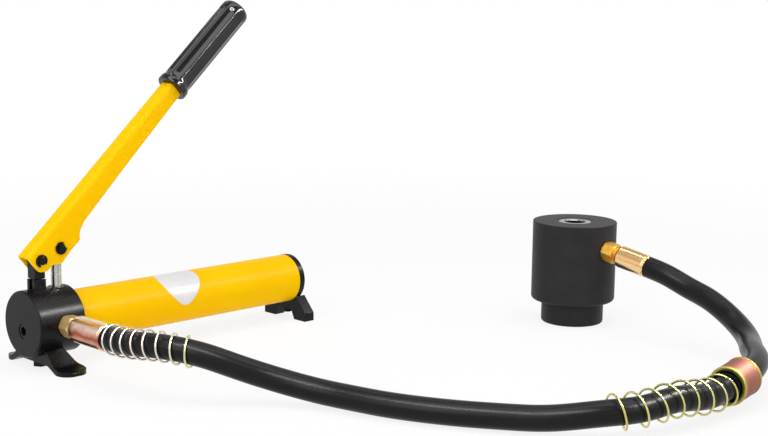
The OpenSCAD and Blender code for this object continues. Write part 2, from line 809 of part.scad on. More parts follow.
module suction_filter() {
    color("#a9865a")
    at_pump()
    difference() {
        bar_x(filter_r, filter_x0, filter_x0 + filter_len, 0, suction_z);
        bar_x(suction_r + snug, filter_x0 - over, filter_x0 + filter_grip + 0.1, 0, suction_z);
        bar_x(suction_r - 0.6, filter_x0, filter_x0 + filter_len - 2, 0, suction_z);
    }
}
label_x = 169.6;
label_lean = 25;
label_t = 0.25;
module tube_label() {
    color("#f4f3f1")
    at_pump()
    translate([0, 0, axis_h])
    rotate([label_lean, 0, 0])
    translate([0, 0, -axis_h])
    intersection() {
        ring_x(tube_r + label_t, tube_r, label_x - label_r, label_x + label_r);
        bar_z(label_r, axis_h + 2, axis_h + tube_r + 2, label_x);
    }
}

// Front foot: a winged casting under the pump head, narrow at its bolt and flaring to broad round pads
foot_x = 18;
foot_x0 = 10;
foot_waist = 16;
foot_corner = min(13, front_foot_len / 2 - 0.5);
foot_bolt_depth = 13;
pad_h = 4;
saddle_share = 0.724;
saddle_half = pump_r * saddle_share;
saddle_z = axis_h - sqrt(pump_r * pump_r - saddle_half * saddle_half) - 1.5;
module front_foot() {
    color(blacked_steel)
    at_pump()
    difference() {
        intersection() {
            translate([foot_x0, 0, 0])
            rotate([90, 0, 90])
            linear_extrude(front_foot_len)
            difference() {
                polygon(foot_outline(front_foot_half));
                translate([0, axis_h])
                circle(r = pump_r);
            }
            foot_plan(front_foot_half);
        }
        bar_z(foot_bolt_r + snug, -over, axis_h, foot_x);
    }
}
// Half of a section across the pump, from the middle of its underside outwards and up, and its mirror
function mirrored(p) = concat(p, [for (i = [len(p) - 1:-1:0]) [-p[i][0], p[i][1], p[i][2]]]);
// The wings sweep down from the head's underside in a hollow curve to flat pads
function foot_outline(half) = rounded(mirrored([
    [half - 29, foot_bolt_head_top, 8], [half - 15, 0, 2], [half, 0, 0.5], [half - 0.8, pad_h, 1.5],
    [half - 18, pad_h + 1.2, 14], [saddle_half, saddle_z, 0.8], [saddle_half - 3, saddle_z + 2.2, 0]]));
module foot_plan(half) {
    linear_extrude(axis_h)
    polygon(rounded([[foot_x0, -half, foot_corner], [foot_x0, half, foot_corner],
        [foot_x0 + front_foot_len, half, foot_corner], [foot_x0 + front_foot_len, half - 15, 4],
        [foot_x0 + foot_waist, 18, 8], [foot_x0 + foot_waist, -18, 8],
        [foot_x0 + front_foot_len, 15 - half, 4], [foot_x0 + front_foot_len, -half, foot_corner]]));
}
foot_bolt_head_top = axis_h - pump_r - 5;
module front_foot_bolt() {
    color(blacked_steel)
    at_pump()
    union() {
        bar_z(foot_bolt_r, foot_bolt_head_top - over, axis_h - pump_r + foot_bolt_depth - 1, foot_x);
        translate([foot_x, 0, foot_bolt_head_top - 5])
        hex_z(13, 5);
    }
}

// Rear foot: an arched casting under the end cap
rear_foot_x = tube_x1 + 4;
rear_foot_x0 = tube_x1 + 0.3;
rear_screw_r = 2.5;
rear_screw_top = axis_h - tube_r + 8;
cap_r = tube_r + 0.2;
arch_h = 9.5;
module rear_foot() {
    color(blacked_steel)
    at_pump()
    difference() {
        translate([rear_foot_x0, 0, 0])
        rotate([90, 0, 90])
        linear_extrude(rear_foot_len)
        difference() {
            polygon(rounded(mirrored([[rear_foot_half - 22.5, arch_h, 2], [rear_foot_half - 18, 0, 0.8],
                [rear_foot_half, 0, 0.8], [rear_foot_half, 9, 2], [cap_r - 7.7, axis_h - 16.8, 0],
                [cap_r - 12, axis_h - 15, 0]])));
            translate([0, axis_h])
            circle(r = cap_r);
        }
        bar_z(rear_screw_r + snug, 0, axis_h, rear_foot_x);
    }
}
module rear_foot_screw() {
    color(blacked_steel)
    at_pump()
    difference() {
        union() {
            bar_z(rear_screw_r, arch_h - over, rear_screw_top - 0.5, rear_foot_x);
            bar_z(rear_screw_r + 2, arch_h - 3.5, arch_h, rear_foot_x);
        }
        translate([rear_foot_x, 0, arch_h - 3.5 - over])
        hex_z(3, 2 + over);
    }
}

// Hose fittings: Z runs outwards along the port, from the axis that the port is measured from
oil_way_r = 2.5;
punch_nose_len = 9;
port_cut = 20;
module at_pump_port() {
    translate(pump_front + [pump_port_x, 0, axis_h])
    rotate([90, 0, 0])
    children();
}
module at_punch_port() {
    translate([0, 0, punch_port_z])
    rotate([90 + punch_port_tilt, 0, 0])
    children();
}
// A nut in one piece with its threaded nose, drilled through for oil
module hose_nut(nose_end, face, neck_end) {
    difference() {
        union() {
            translate([0, 0, nose_end])
            cylinder(r = port_thread_r, h = face - nose_end + over);
            translate([0, 0, face])
            intersection() {
                hex_z(nut_flats, nut_len);
                rotate_extrude()
                polygon([[0, 0], [nut_flats * 0.5, 0], [nut_flats * 0.6, 1.5],
                    [nut_flats * 0.6, nut_len - 1.5], [nut_flats * 0.5, nut_len], [0, nut_len]]);
            }
            translate([0, 0, face + nut_len - over])
            cylinder(r = port_thread_r + 0.6, h = neck_end - face - nut_len + over);
        }
        translate([0, 0, nose_end - over])
        cylinder(r = oil_way_r, h = neck_end - nose_end + 2 * over);
    }
}
// A crimped ferrule: rounded shoulder, straight shell and a rolled lip at the hose
module ferrule(r, z0, z1) {
    difference() {
        translate([0, 0, z0])
        rotate_extrude()
        polygon(rounded([[0, 0, 0], [r - 2.5, 0, 1], [r, 3.5, 2], [r, z1 - z0 - 3, 0.6],
            [r - 0.5, z1 - z0 - 2, 0.4], [r - 0.2, z1 - z0, 0.8], [0, z1 - z0, 0]]));
        translate([0, 0, z0 - over])
        cylinder(r = oil_way_r, h = z1 - z0 - 6);
    }
}
ferrule_gap = 3;
pump_nose_end = -port_seat_y + ball_pocket_len;
module pump_hose_nut() {
    color(zinc)
    at_pump_port()
    hose_nut(pump_nose_end, port_face, port_face + nut_len + ferrule_gap);
}
module pump_ferrule() {
    color("#d59a72")
    at_pump_port()
    ferrule(pump_ferrule_r, port_face + nut_len + ferrule_gap, pump_ferrule_end);
}
punch_face = punch_r - 1.6;
module punch_hose_nut() {
    color(zinc)
    at_punch_port()
    hose_nut(punch_face - punch_nose_len, punch_face, punch_face + nut_len + ferrule_gap);
}
module punch_ferrule() {
    color("#d9b27c")
    at_punch_port()
    ferrule(punch_ferrule_r, punch_face + nut_len + ferrule_gap, punch_ferrule_end);
}
module hose_main() {
    color(rubber)
    hose(main_route, [0, -1, 0], coupler_dir);
}
module hose_tail() {
    color(rubber)
    hose(tail_route, coupler_dir, -punch_port_dir);
}
module pump_guard_spring() {
    color("#d8d6c2")
    wire(pump_guard_line, guard_wire_r);
}
module coupler_guard_spring() {
    color("#c9cf7a")
    wire(coupler_guard_line, guard_wire_r);
}
module at_coupler() {
    translate(coupler_start)
    rotate([0, 90 - coupler_pitch, coupler_yaw])
    children();
}
coupler_body_r = sleeve_r - 3;
coupler_neck_r = hose_r + 0.5;
coupler_mouth = 6;
// Slimmer at both ends, where the sleeve's mouths stand open round the hose
module coupler_body() {
    color(zinc)
    at_coupler()
    difference() {
        union() {
            cylinder(r = coupler_neck_r, h = coupler_len);
            translate([0, 0, coupler_mouth])
            cylinder(r = coupler_body_r, h = coupler_len - coupler_mouth - 4);
        }
        translate([0, 0, 4])
        cylinder(r = 3, h = coupler_len - 8);
    }
}
module coupler_sleeve() {
    color("#c98f6c")
    at_coupler()
    rotate_extrude()
    polygon([[coupler_body_r + run, 0.5], [sleeve_r - 0.6, 0.5], [sleeve_r, 1.1],
        [sleeve_r, 3.5], [sleeve_r - 0.5, 4], [sleeve_r - 0.5, coupler_len - 4],
        [sleeve_r, coupler_len - 3.5], [sleeve_r, coupler_len - 1.1],
        [sleeve_r - 0.6, coupler_len - 0.5], [coupler_body_r + run, coupler_len - 0.5]]);
}

// Punch head: cylinder, screwed end cap, ram, seals and return spring
cap_thread_r = bore_r + 4;
cap_thread_h = 17;
cap_floor = 8;
spring_pocket_r = bore_r - 1.4;
shoulder_r = 4;
under_wall_z = punch_h - top_wall;
wiper_r = ram_r + 2.3;
wiper_h = 3.6;
rod_seal_r = ram_r + 3.6;
rod_seal_h = 5;
rod_seal_z = under_wall_z + 3;
vent_z = 14;
module punch_cylinder() {
    color(blacked_steel)
    difference() {
        rotate_extrude()
        polygon(rounded([[0, neck_h, 0], [punch_r, neck_h, shoulder_r], [punch_r, punch_h, 0.8],
            [0, punch_h, 0]]));
        bar_z(cap_thread_r + snug, neck_h - over, neck_h + cap_thread_h);
        bar_z(bore_r, neck_h, under_wall_z);
        bar_z(ram_r + run, under_wall_z - over, punch_h + over);
        bar_z(rod_seal_r, rod_seal_z, rod_seal_z + rod_seal_h);
        bar_z(wiper_r, punch_h - wiper_h, punch_h + over);
        at_punch_port() {
            translate([0, 0, punch_face])
            cylinder(r = nut_pocket_r, h = port_cut);
            translate([0, 0, punch_face - punch_nose_len])
            cylinder(r = port_thread_r + snug, h = port_cut);
            translate([0, 0, bore_r - 3])
            cylinder(r = oil_way_r, h = port_cut);
        }
    }
}
module punch_end_cap() {
    color(blacked_steel)
    difference() {
        rotate_extrude()
        polygon(rounded([[0, 0, 0], [neck_r, 0, 2.5], [neck_r, neck_h - 0.1, 0],
            [cap_thread_r, neck_h - 0.1, 0], [cap_thread_r, neck_h + cap_thread_h - 0.1, 0.5],
            [0, neck_h + cap_thread_h - 0.1, 0]]));
        bar_z(spring_pocket_r, cap_floor, neck_h + cap_thread_h + over);
        ring_z(cap_thread_r + over, cap_oring_root, cap_oring_z, cap_oring_z + cap_oring_w + gap);
        rotate([0, 0, 45])
        translate([spring_pocket_r - 2, 0, vent_z])
        rotate([0, 90, 0])
        cylinder(r = 1.5, h = neck_r);
    }
}
cap_oring_root = cap_thread_r - 2;
cap_oring_w = 2.4;
cap_oring_z = neck_h + cap_thread_h - 6;
module cap_oring() {
    color(rubber)
    ring_z(cap_thread_r, cap_oring_root, cap_oring_z + gap / 2, cap_oring_z + gap / 2 + cap_oring_w);
}
flange_z1 = under_wall_z - 13;
flange_h = 14;
flange_z0 = flange_z1 - flange_h;
ram_bottom = cap_floor + ram_stroke + 2;
ram_top = punch_h - 0.6;
ram_seal_root = bore_r - 4.5;
ram_seal_z = flange_z0 + 4;
ram_seal_h = 6;
module ram() {
    color(bright_steel)
    difference() {
        union() {
            rotate_extrude()
            polygon([[0, ram_bottom], [ram_r, ram_bottom], [ram_r, ram_top - 1], [ram_r - 1, ram_top],
                [0, ram_top]]);
            bar_z(bore_r - run, flange_z0, flange_z1);
            bar_z(ram_r + 5, flange_z1 - over, under_wall_z - 0.1);
        }
        bar_z(stud_bore_r, ram_top - stud_bore_depth, ram_top + over);
        translate([0, 0, ram_top - 1.4])
        cylinder(r1 = stud_bore_r, r2 = stud_bore_r + 1.4, h = 1.4);
        bar_z(stud_bore_r + 1, ram_bottom - over, ram_top - stud_bore_depth - 8);
        ring_z(bore_r + over, ram_seal_root, ram_seal_z, ram_seal_z + ram_seal_h);
    }
}
module ram_seal() {
    color(rubber)
    ring_z(bore_r - snug, ram_seal_root, ram_seal_z, ram_seal_z + ram_seal_h);
}
module rod_seal() {
    color(rubber)
    ring_z(rod_seal_r, ram_r + run, rod_seal_z, rod_seal_z + rod_seal_h);
}
module wiper_ring() {
    color(rubber)
    ring_z(wiper_r, ram_r + run, punch_h - wiper_h, punch_h - 0.3);
}
return_z0 = cap_floor + return_wire_r + 0.2;
return_z1 = flange_z0 - return_wire_r - 0.1;
return_line = [for (i = [0:return_turns * steps_a_curl])
    let (a = 360 * i / steps_a_curl)
    [return_coil_r * cos(a), return_coil_r * sin(a),
        return_z0 + (return_z1 - return_z0) * return_rise(i / (return_turns * steps_a_curl))]];
// The end turns lie nearly flat and the middle turns take the rise
function return_rise(t) = t * t * (3 - 2 * t) * 0.5 + t * 0.5;
echo(least_gap_return = least_gap(return_line, return_wire_r));
module return_spring() {
    color(bright_steel)
    wire(return_line, return_wire_r);
}

pump_head();
front_plug();
relief_spring();
relief_ball();
inlet_ball();
outlet_ball();
gland_nut();
plunger_seal();
plunger();
link_lug();
link_pin();
lever_link();
lever_channel();
handle_rod();
grip();
front_lever_pin();
front_pin_clips();
rear_lever_pin();
rear_pin_clips();
release_spindle();
release_knob();
reservoir_tube();
tube_orings();
end_cap();
tie_rod();
tie_nut();
filler_plug();
suction_tube();
suction_filter();
tube_label();
front_foot();
front_foot_bolt();
rear_foot();
rear_foot_screw();
pump_hose_nut();
pump_ferrule();
pump_guard_spring();
hose_main();
coupler_guard_spring();
coupler_body();
coupler_sleeve();
hose_tail();
punch_ferrule();
punch_hose_nut();
punch_cylinder();
punch_end_cap();
cap_oring();
ram();
ram_seal();
rod_seal();
wiper_ring();
return_spring();
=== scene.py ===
# A hydraulic hole punch: a hand pump, its hose with a screw coupler, and the hollow punch head.
# Sizes are in millimetres in the dictionaries and become metres where they are used.
import math

import bmesh
import bpy
from mathutils import Matrix, Vector


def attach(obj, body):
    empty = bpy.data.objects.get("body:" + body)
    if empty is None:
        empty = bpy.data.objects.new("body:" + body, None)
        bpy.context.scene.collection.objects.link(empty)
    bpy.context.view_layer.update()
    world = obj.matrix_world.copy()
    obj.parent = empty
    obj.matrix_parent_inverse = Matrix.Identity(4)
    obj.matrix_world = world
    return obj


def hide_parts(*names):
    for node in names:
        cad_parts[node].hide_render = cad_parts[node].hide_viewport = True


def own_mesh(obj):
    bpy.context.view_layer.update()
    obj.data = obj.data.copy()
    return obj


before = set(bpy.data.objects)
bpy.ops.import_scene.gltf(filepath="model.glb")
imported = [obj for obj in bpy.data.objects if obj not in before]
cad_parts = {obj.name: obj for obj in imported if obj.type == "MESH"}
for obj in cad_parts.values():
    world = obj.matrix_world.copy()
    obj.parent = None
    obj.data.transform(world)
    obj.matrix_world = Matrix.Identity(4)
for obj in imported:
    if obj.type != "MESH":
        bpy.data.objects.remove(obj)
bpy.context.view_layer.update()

mm = 0.001
skyward = Vector((0, 0, 1))


def toMetres(point):
    return Vector(point) * mm


def inScene(name, data):
    made = bpy.data.objects.new(name, data)
    bpy.context.scene.collection.objects.link(made)
    return made


print("Camera")
view = {"place": (-1259, -971, 373.3), "heading": 45, "pitch": 9.51, "roll": 0.745, "lens": 70.3}


def makeCamera(look):
    heading, pitch, roll = (math.radians(look[key]) for key in ("heading", "pitch", "roll"))
    ahead = Vector((math.cos(heading), math.sin(heading), 0))
    right = Vector((math.sin(heading), -math.cos(heading), 0))
    forward = ahead * math.cos(pitch) - skyward * math.sin(pitch)
    above = ahead * math.sin(pitch) + skyward * math.cos(pitch)
    across = right * math.cos(roll) + above * math.sin(roll)
    upright = above * math.cos(roll) - right * math.sin(roll)
    camera = inScene("Camera", bpy.data.cameras.new("Camera"))
    camera.data.lens = look["lens"]
    turn = Matrix((across, upright, -forward)).transposed().to_4x4()
    camera.matrix_world = Matrix.Translation(toMetres(look["place"])) @ turn
    bpy.context.scene.camera = camera


makeCamera(view)
bpy.context.scene.view_settings.view_transform = "Standard"


def newMesh(name, points, faces, smooth=True):
    mesh = bpy.data.meshes.new(name)
    mesh.from_pydata([tuple(p) for p in points], [], faces)
    mesh.polygons.foreach_set("use_smooth", [smooth] * len(mesh.polygons))
    mesh.update()
    return inScene(name, mesh)


print("Hose")
coupler = {"start": (-170.4, -300.6, 22.3), "yaw": 6.1, "pitch": 5.5, "length": 32, "leadIn": 34.8,
           "leadOut": 19.2}
pumpPort = {"place": (-511, 218, 43), "ferruleEnd": 96}
punchPort = {"height": 90, "tilt": 10, "ferruleEnd": 97.5}
couplerYaw, couplerPitch = math.radians(coupler["yaw"]), math.radians(coupler["pitch"])
couplerAlong = Vector((math.cos(couplerYaw) * math.cos(couplerPitch),
                       math.sin(couplerYaw) * math.cos(couplerPitch), math.sin(couplerPitch)))
couplerStart = Vector(coupler["start"])
couplerEnd = couplerStart + coupler["length"] * couplerAlong
punchTilt = math.radians(punchPort["tilt"])
punchOutward = Vector((0, -math.cos(punchTilt), -math.sin(punchTilt)))
punchFerruleEnd = Vector((0, 0, punchPort["height"])) + punchPort["ferruleEnd"] * punchOutward
pumpOutward = Vector((0, -1, 0))
pumpFerruleEnd = Vector(pumpPort["place"]) + pumpPort["ferruleEnd"] * pumpOutward
hose = {
    "radius": 11,
    "sides": 40,
    "samplesPerSpan": 12,
    "mainRoute": [
        pumpFerruleEnd, (-510.3, 96, 43), (-507, 69.5, 46.6), (-497.5, 44.3, 46.7), (-482.9, 21.8, 42.6),
        (-465, 3.3, 33.3), (-445.5, -13.4, 24.3), (-430.1, -35, 18), (-417.1, -59.1, 13.6),
        (-408.3, -85.3, 12.6), (-399, -115, 11.5), (-386, -147, 11.5), (-370, -178, 11.5), (-351, -208, 12),
        (-333.1, -239.3, 13), (-308, -273.3, 21.1), (-276.8, -291.9, 21), (-241.3, -297.6, 26.8),
        couplerStart - coupler["leadIn"] * couplerAlong, couplerStart],
    "tailRoute": [
        couplerEnd, couplerEnd + coupler["leadOut"] * couplerAlong, (-91.5, -283.4, 29.2),
        (-66.8, -259.8, 29.1), (-42.5, -245.3, 26.2), (-21.1, -226.2, 30.7), (-6.1, -200.3, 39.7),
        (-1.1, -171.4, 53), (2.3, -144.5, 58), (0, -120.7, 68.6), punchFerruleEnd],
}


def routePoint(route, place):
    # A uniform cubic B-spline, carried on past both ends so that it starts and stops on its end points
    line = [Vector(p) for p in route]
    line = [2 * line[0] - line[1], *line, 2 * line[-1] - line[-2]]
    span = min(int(place), len(route) - 2)
    t = place - span
    shares = ((1 - t) ** 3, 3 * t ** 3 - 6 * t * t + 4, -3 * t ** 3 + 3 * t * t + 3 * t + 1, t ** 3)
    return sum((share * point for share, point in zip(shares, line[span:span + 4])), Vector()) / 6 * mm


def routeStretch(route, first, last, count):
    return [routePoint(route, first + (last - first) * i / count) for i in range(count + 1)]


def directionsAlong(line, first=None, last=None):
    found = [(line[min(i + 1, len(line) - 1)] - line[max(i - 1, 0)]).normalized() for i in range(len(line))]
    found[0] = first or found[0]
    found[-1] = last or found[-1]
    return found


def ringFaces(rings, sides):
    # Quads between each ring of points and the next
    return [(i * sides + j, i * sides + (j + 1) % sides, (i + 1) * sides + (j + 1) % sides, (i + 1) * sides + j)
            for i in range(rings - 1) for j in range(sides)]


def makeHose(name, route, first, last):
    # A round tube with its own UV map in metres: round the hose, then along it
    line = routeStretch(route, 0, len(route) - 1, (len(route) - 1) * hose["samplesPerSpan"])
    sides = hose["sides"]
    radius = hose["radius"] * mm
    points = []
    for centre, direction in zip(line, directionsAlong(line, first, last)):
        side = skyward.cross(direction).normalized()
        above = direction.cross(side)
        for j in range(sides):
            angle = math.tau * j / sides
            points.append(centre + radius * (math.cos(angle) * side + math.sin(angle) * above))
    faces = ringFaces(len(line), sides)
    faces.append(tuple(reversed(range(sides))))
    faces.append(tuple((len(line) - 1) * sides + j for j in range(sides)))
    piece = newMesh(name, points, faces)
    along = [0.0]
    for a, b in zip(line, line[1:]):
        along.append(along[-1] + (b - a).length)
    layer = piece.data.uv_layers.new(name="hoseMap")
    for face in piece.data.polygons[:-2]:
        ring, j = divmod(face.index, sides)
        corners = ((j, ring), (j + 1, ring), (j + 1, ring + 1), (j, ring + 1))
        for loop, (around, row) in zip(face.loop_indices, corners):
            layer.data[loop].uv = (math.tau * radius * around / sides, along[row])
    return piece, line


hoseMain, mainLine = makeHose("hoseMain", hose["mainRoute"], pumpOutward, couplerAlong)
hoseTail, tailLine = makeHose("hoseTail", hose["tailRoute"], couplerAlong, -punchOutward)


print("Springs")
springs = {
    "pointsPerTurn": 24,
    "wireSides": 12,
    "pumpGuard": {"span": (0.08, 3.75), "turns": 8, "coil": 13.2, "wire": 1.0},
    "couplerGuard": {"span": (15.15, 18.94), "turns": 8, "coil": 14.9, "wire": 1.0},
    "ramReturn": {"bottom": 10.4, "top": 63.7, "floor": 8, "stroke": 22, "turns": 6, "coil": 24.5, "wire": 2.2},
    "relief": {"start": (-530.1, 218, 36.5), "length": 13.25, "turns": 5, "coil": 2.9, "wire": 0.45},
}


def addNode(tree, kind, inputs=None, **settings):
    # Adds a node, sets it, and sets or links its inputs, which are given by name or by number
    node = tree.nodes.new(kind)
    for name, value in settings.items():
        setattr(node, name, value)
    for name, value in (inputs or {}).items():
        if isinstance(value, bpy.types.NodeSocket):
            tree.links.new(value, node.inputs[name])
        else:
            node.inputs[name].default_value = value
    return node


def makeSpringTree():
    # Winds a wire round a line: each point of the line moves out by the coil's radius, at its turn's angle
    tree = bpy.data.node_groups.new("Wound spring", "GeometryNodeTree")
    sockets = (("Line", "NodeSocketGeometry"), ("Turns", "NodeSocketFloat"),
               ("Coil radius", "NodeSocketFloat"), ("Wire radius", "NodeSocketFloat"),
               ("Level with", "NodeSocketVector"), ("Wire sides", "NodeSocketInt"),
               ("Wire finish", "NodeSocketMaterial"))
    for name, kind in sockets:
        tree.interface.new_socket(name, in_out="INPUT", socket_type=kind)
    tree.interface.new_socket("Spring", in_out="OUTPUT", socket_type="NodeSocketGeometry")
    given = addNode(tree, "NodeGroupInput").outputs
    size = addNode(tree, "GeometryNodeAttributeDomainSize", {"Geometry": given["Line"]}, component="CURVE")
    last = addNode(tree, "ShaderNodeMath", {0: size.outputs["Point Count"], 1: 1.0}, operation="SUBTRACT")
    index = addNode(tree, "GeometryNodeInputIndex")
    share = addNode(tree, "ShaderNodeMath", {0: index.outputs[0], 1: last.outputs[0]}, operation="DIVIDE")
    wound = addNode(tree, "ShaderNodeMath", {0: share.outputs[0], 1: given["Turns"]}, operation="MULTIPLY")
    angle = addNode(tree, "ShaderNodeMath", {0: wound.outputs[0], 1: math.tau}, operation="MULTIPLY")
    level = addNode(tree, "ShaderNodeMath", {0: angle.outputs[0]}, operation="COSINE")
    rise = addNode(tree, "ShaderNodeMath", {0: angle.outputs[0]}, operation="SINE")
    tangent = addNode(tree, "GeometryNodeInputTangent")
    across = addNode(tree, "ShaderNodeVectorMath", {0: given["Level with"], 1: tangent.outputs[0]},
                     operation="CROSS_PRODUCT")
    side = addNode(tree, "ShaderNodeVectorMath", {0: across.outputs[0]}, operation="NORMALIZE")
    above = addNode(tree, "ShaderNodeVectorMath", {0: tangent.outputs[0], 1: side.outputs[0]},
                    operation="CROSS_PRODUCT")
    levelPart = addNode(tree, "ShaderNodeVectorMath", {0: side.outputs[0], "Scale": level.outputs[0]},
                        operation="SCALE")
    risePart = addNode(tree, "ShaderNodeVectorMath", {0: above.outputs[0], "Scale": rise.outputs[0]},
                       operation="SCALE")
    outward = addNode(tree, "ShaderNodeVectorMath", {0: levelPart.outputs[0], 1: risePart.outputs[0]},
                      operation="ADD")
    offset = addNode(tree, "ShaderNodeVectorMath", {0: outward.outputs[0], "Scale": given["Coil radius"]},
                     operation="SCALE")
    marked = addNode(tree, "GeometryNodeStoreNamedAttribute",
                     {"Geometry": given["Line"], "Name": "alongSpring", "Value": share.outputs[0]},
                     data_type="FLOAT", domain="POINT")
    placed = addNode(tree, "GeometryNodeSetPosition",
                     {"Geometry": marked.outputs[0], "Offset": offset.outputs[0]})
    section = addNode(tree, "GeometryNodeCurvePrimitiveCircle",
                      {"Resolution": given["Wire sides"], "Radius": given["Wire radius"]})
    wire = addNode(tree, "GeometryNodeCurveToMesh",
                   {"Curve": placed.outputs[0], "Profile Curve": section.outputs[0], "Fill Caps": True})
    smooth = addNode(tree, "GeometryNodeSetShadeSmooth", {"Geometry": wire.outputs[0]})
    solid = addNode(tree, "GeometryNodeRealizeInstances", {"Geometry": smooth.outputs[0]})
    finished = addNode(tree, "GeometryNodeSetMaterial",
                       {"Geometry": solid.outputs[0], "Material": given["Wire finish"]})
    addNode(tree, "NodeGroupOutput", {"Spring": finished.outputs[0]})
    return tree


def woundSpring(name, tree, line, spring, levelWith, finish):
    curve = bpy.data.curves.new(name + "Line", "CURVE")
    curve.dimensions = "3D"
    spline = curve.splines.new("POLY")
    spline.points.add(len(line) - 1)
    for point, place in zip(spline.points, line):
        point.co = (*place, 1)
    guide = inScene(name + "Line", curve)
    winding = guide.modifiers.new("Winding", "NODES")
    winding.node_group = tree
    values = {"Turns": float(spring["turns"]), "Coil radius": spring["coil"] * mm, "Level with": levelWith,
              "Wire radius": spring["wire"] * mm, "Wire sides": springs["wireSides"], "Wire finish": finish}
    for socket in tree.interface.items_tree:
        if socket.in_out == "INPUT" and socket.name in values:
            winding[socket.identifier] = values[socket.name]
    shown = guide.evaluated_get(bpy.context.evaluated_depsgraph_get())
    mesh = bpy.data.meshes.new_from_object(shown, preserve_all_data_layers=True,
                                           depsgraph=bpy.context.evaluated_depsgraph_get())
    bpy.data.objects.remove(guide)
    mesh.name = name
    return inScene(name, mesh)


def linearColour(hexText):
    channels = [int(hexText[i:i + 2], 16) / 255 for i in (0, 2, 4)]
    return (*(c / 12.92 if c <= 0.04045 else ((c + 0.055) / 1.055) ** 2.4 for c in channels), 1)


def newMaterial(name, **sockets):
    # A material with one Principled shader, whose even values go straight onto its sockets
    material = bpy.data.materials.new(name)
    material.use_nodes = True
    tree = material.node_tree
    tree.nodes.clear()
    shader = addNode(tree, "ShaderNodeBsdfPrincipled")
    for socket, value in sockets.items():
        shader.inputs[socket.replace("_", " ")].default_value = value
    addNode(tree, "ShaderNodeOutputMaterial", {"Surface": shader.outputs["BSDF"]})
    return material, tree, shader


def cloudedColour(tree, shader, tones, cloudMm):
    # The base colour drifts between near tones, in clouds of a real size
    place = addNode(tree, "ShaderNodeTexCoord")
    cloud = addNode(tree, "ShaderNodeTexNoise",
                    {"Vector": place.outputs["Object"], "Scale": 1 / (cloudMm * mm), "Detail": 3.0})
    ramp = addNode(tree, "ShaderNodeValToRGB", {"Fac": cloud.outputs["Fac"]})
    spread(ramp.color_ramp, tones, 0.32, 0.68)
    tree.links.new(ramp.outputs["Color"], shader.inputs["Base Color"])


def spread(ramp, tones, first=0.0, last=1.0):
    while len(ramp.elements) < len(tones):
        ramp.elements.new(0.5)
    for i, tone in enumerate(tones):
        ramp.elements[i].position = first + (last - first) * i / (len(tones) - 1)
        ramp.elements[i].color = linearColour(tone)


def surfaceGrain(tree, shader, grainMm, gloss, liftMm, edgeMm=0.4, stretch=(1, 1, 1), height=None):
    # Fine unevenness in gloss and height, on edges rounded by edgeMm
    place = addNode(tree, "ShaderNodeTexCoord")
    stretched = addNode(tree, "ShaderNodeMapping", {"Vector": place.outputs["Object"], "Scale": stretch})
    grain = addNode(tree, "ShaderNodeTexNoise",
                    {"Vector": stretched.outputs["Vector"], "Scale": 1 / (grainMm * mm), "Detail": 2.0})
    tree.links.new(addNode(tree, "ShaderNodeMapRange", {
        "Value": grain.outputs["Fac"], "From Min": 0.3, "From Max": 0.7,
        "To Min": gloss[0], "To Max": gloss[1]}).outputs["Result"], shader.inputs["Roughness"])
    lift = addNode(tree, "ShaderNodeBump", {
        "Height": height or grain.outputs["Fac"], "Distance": liftMm * mm, "Strength": 1.0})
    if edgeMm:
        edge = addNode(tree, "ShaderNodeBevel", {"Radius": edgeMm * mm}, samples=4)
        tree.links.new(edge.outputs["Normal"], lift.inputs["Normal"])
    tree.links.new(lift.outputs["Normal"], shader.inputs["Normal"])


def turnedMarks(tree, centre, axisTurn, pitchMm):
    # Marks left by a lathe tool: rings round the axis on a cylinder, circles on its flat end
    place = addNode(tree, "ShaderNodeTexCoord")
    centred = addNode(tree, "ShaderNodeVectorMath", {0: place.outputs["Object"], 1: toMetres(centre)},
                      operation="SUBTRACT")
    turned = addNode(tree, "ShaderNodeMapping", {"Vector": centred.outputs[0], "Rotation": axisTurn})
    parts = addNode(tree, "ShaderNodeSeparateXYZ", {"Vector": turned.outputs["Vector"]})
    flat = addNode(tree, "ShaderNodeCombineXYZ", {"X": parts.outputs["X"], "Y": parts.outputs["Y"]})
    radius = addNode(tree, "ShaderNodeVectorMath", {0: flat.outputs[0]}, operation="LENGTH")
    travel = addNode(tree, "ShaderNodeMath", {0: radius.outputs["Value"], 1: parts.outputs["Z"]})
    marks = addNode(tree, "ShaderNodeTexNoise", {"W": travel.outputs[0], "Scale": 1 / (pitchMm * mm),
                                                 "Detail": 2.0}, noise_dimensions="1D")
    return marks.outputs["Fac"]


alongX = (0, math.radians(-90), 0)
alongZ = (0, 0, 0)
pumpAxis = (-540, 218, 43)


print("Materials")


def blackEnamel():
    # Black stoving enamel sprayed on cast and turned steel: a satin skin with soft, broad reflections
    material, tree, shader = newMaterial("Black stoving enamel", IOR=1.5, Specular_IOR_Level=0.15)
    cloudedColour(tree, shader, ("0f0e10", "141315"), 30)
    surfaceGrain(tree, shader, 1.6, (0.24, 0.34), 0.006, 0.5)
    return material


def blackOxide():
    # Black oxide on turned steel: oiled, matt and slightly warm, with the lathe's marks still in it
    material, tree, shader = newMaterial("Black oxide steel", IOR=1.5, Specular_IOR_Level=0.13)
    cloudedColour(tree, shader, ("252427", "2c2b2d"), 22)
    surfaceGrain(tree, shader, 0.9, (0.42, 0.56), 0.004, 0.6,
                 height=turnedMarks(tree, (0, 0, 0), alongZ, 0.7))
    return material


def yellowPowderCoat():
    # Yellow powder coat on tube and sheet steel: thick and glossy, with a faint orange-peel surface
    material, tree, shader = newMaterial("Yellow powder coat", IOR=1.5, Specular_IOR_Level=0.025)
    cloudedColour(tree, shader, ("ffc400", "ffca00"), 60)
    surfaceGrain(tree, shader, 3.0, (0.3, 0.4), 0.01, 0)
    return material


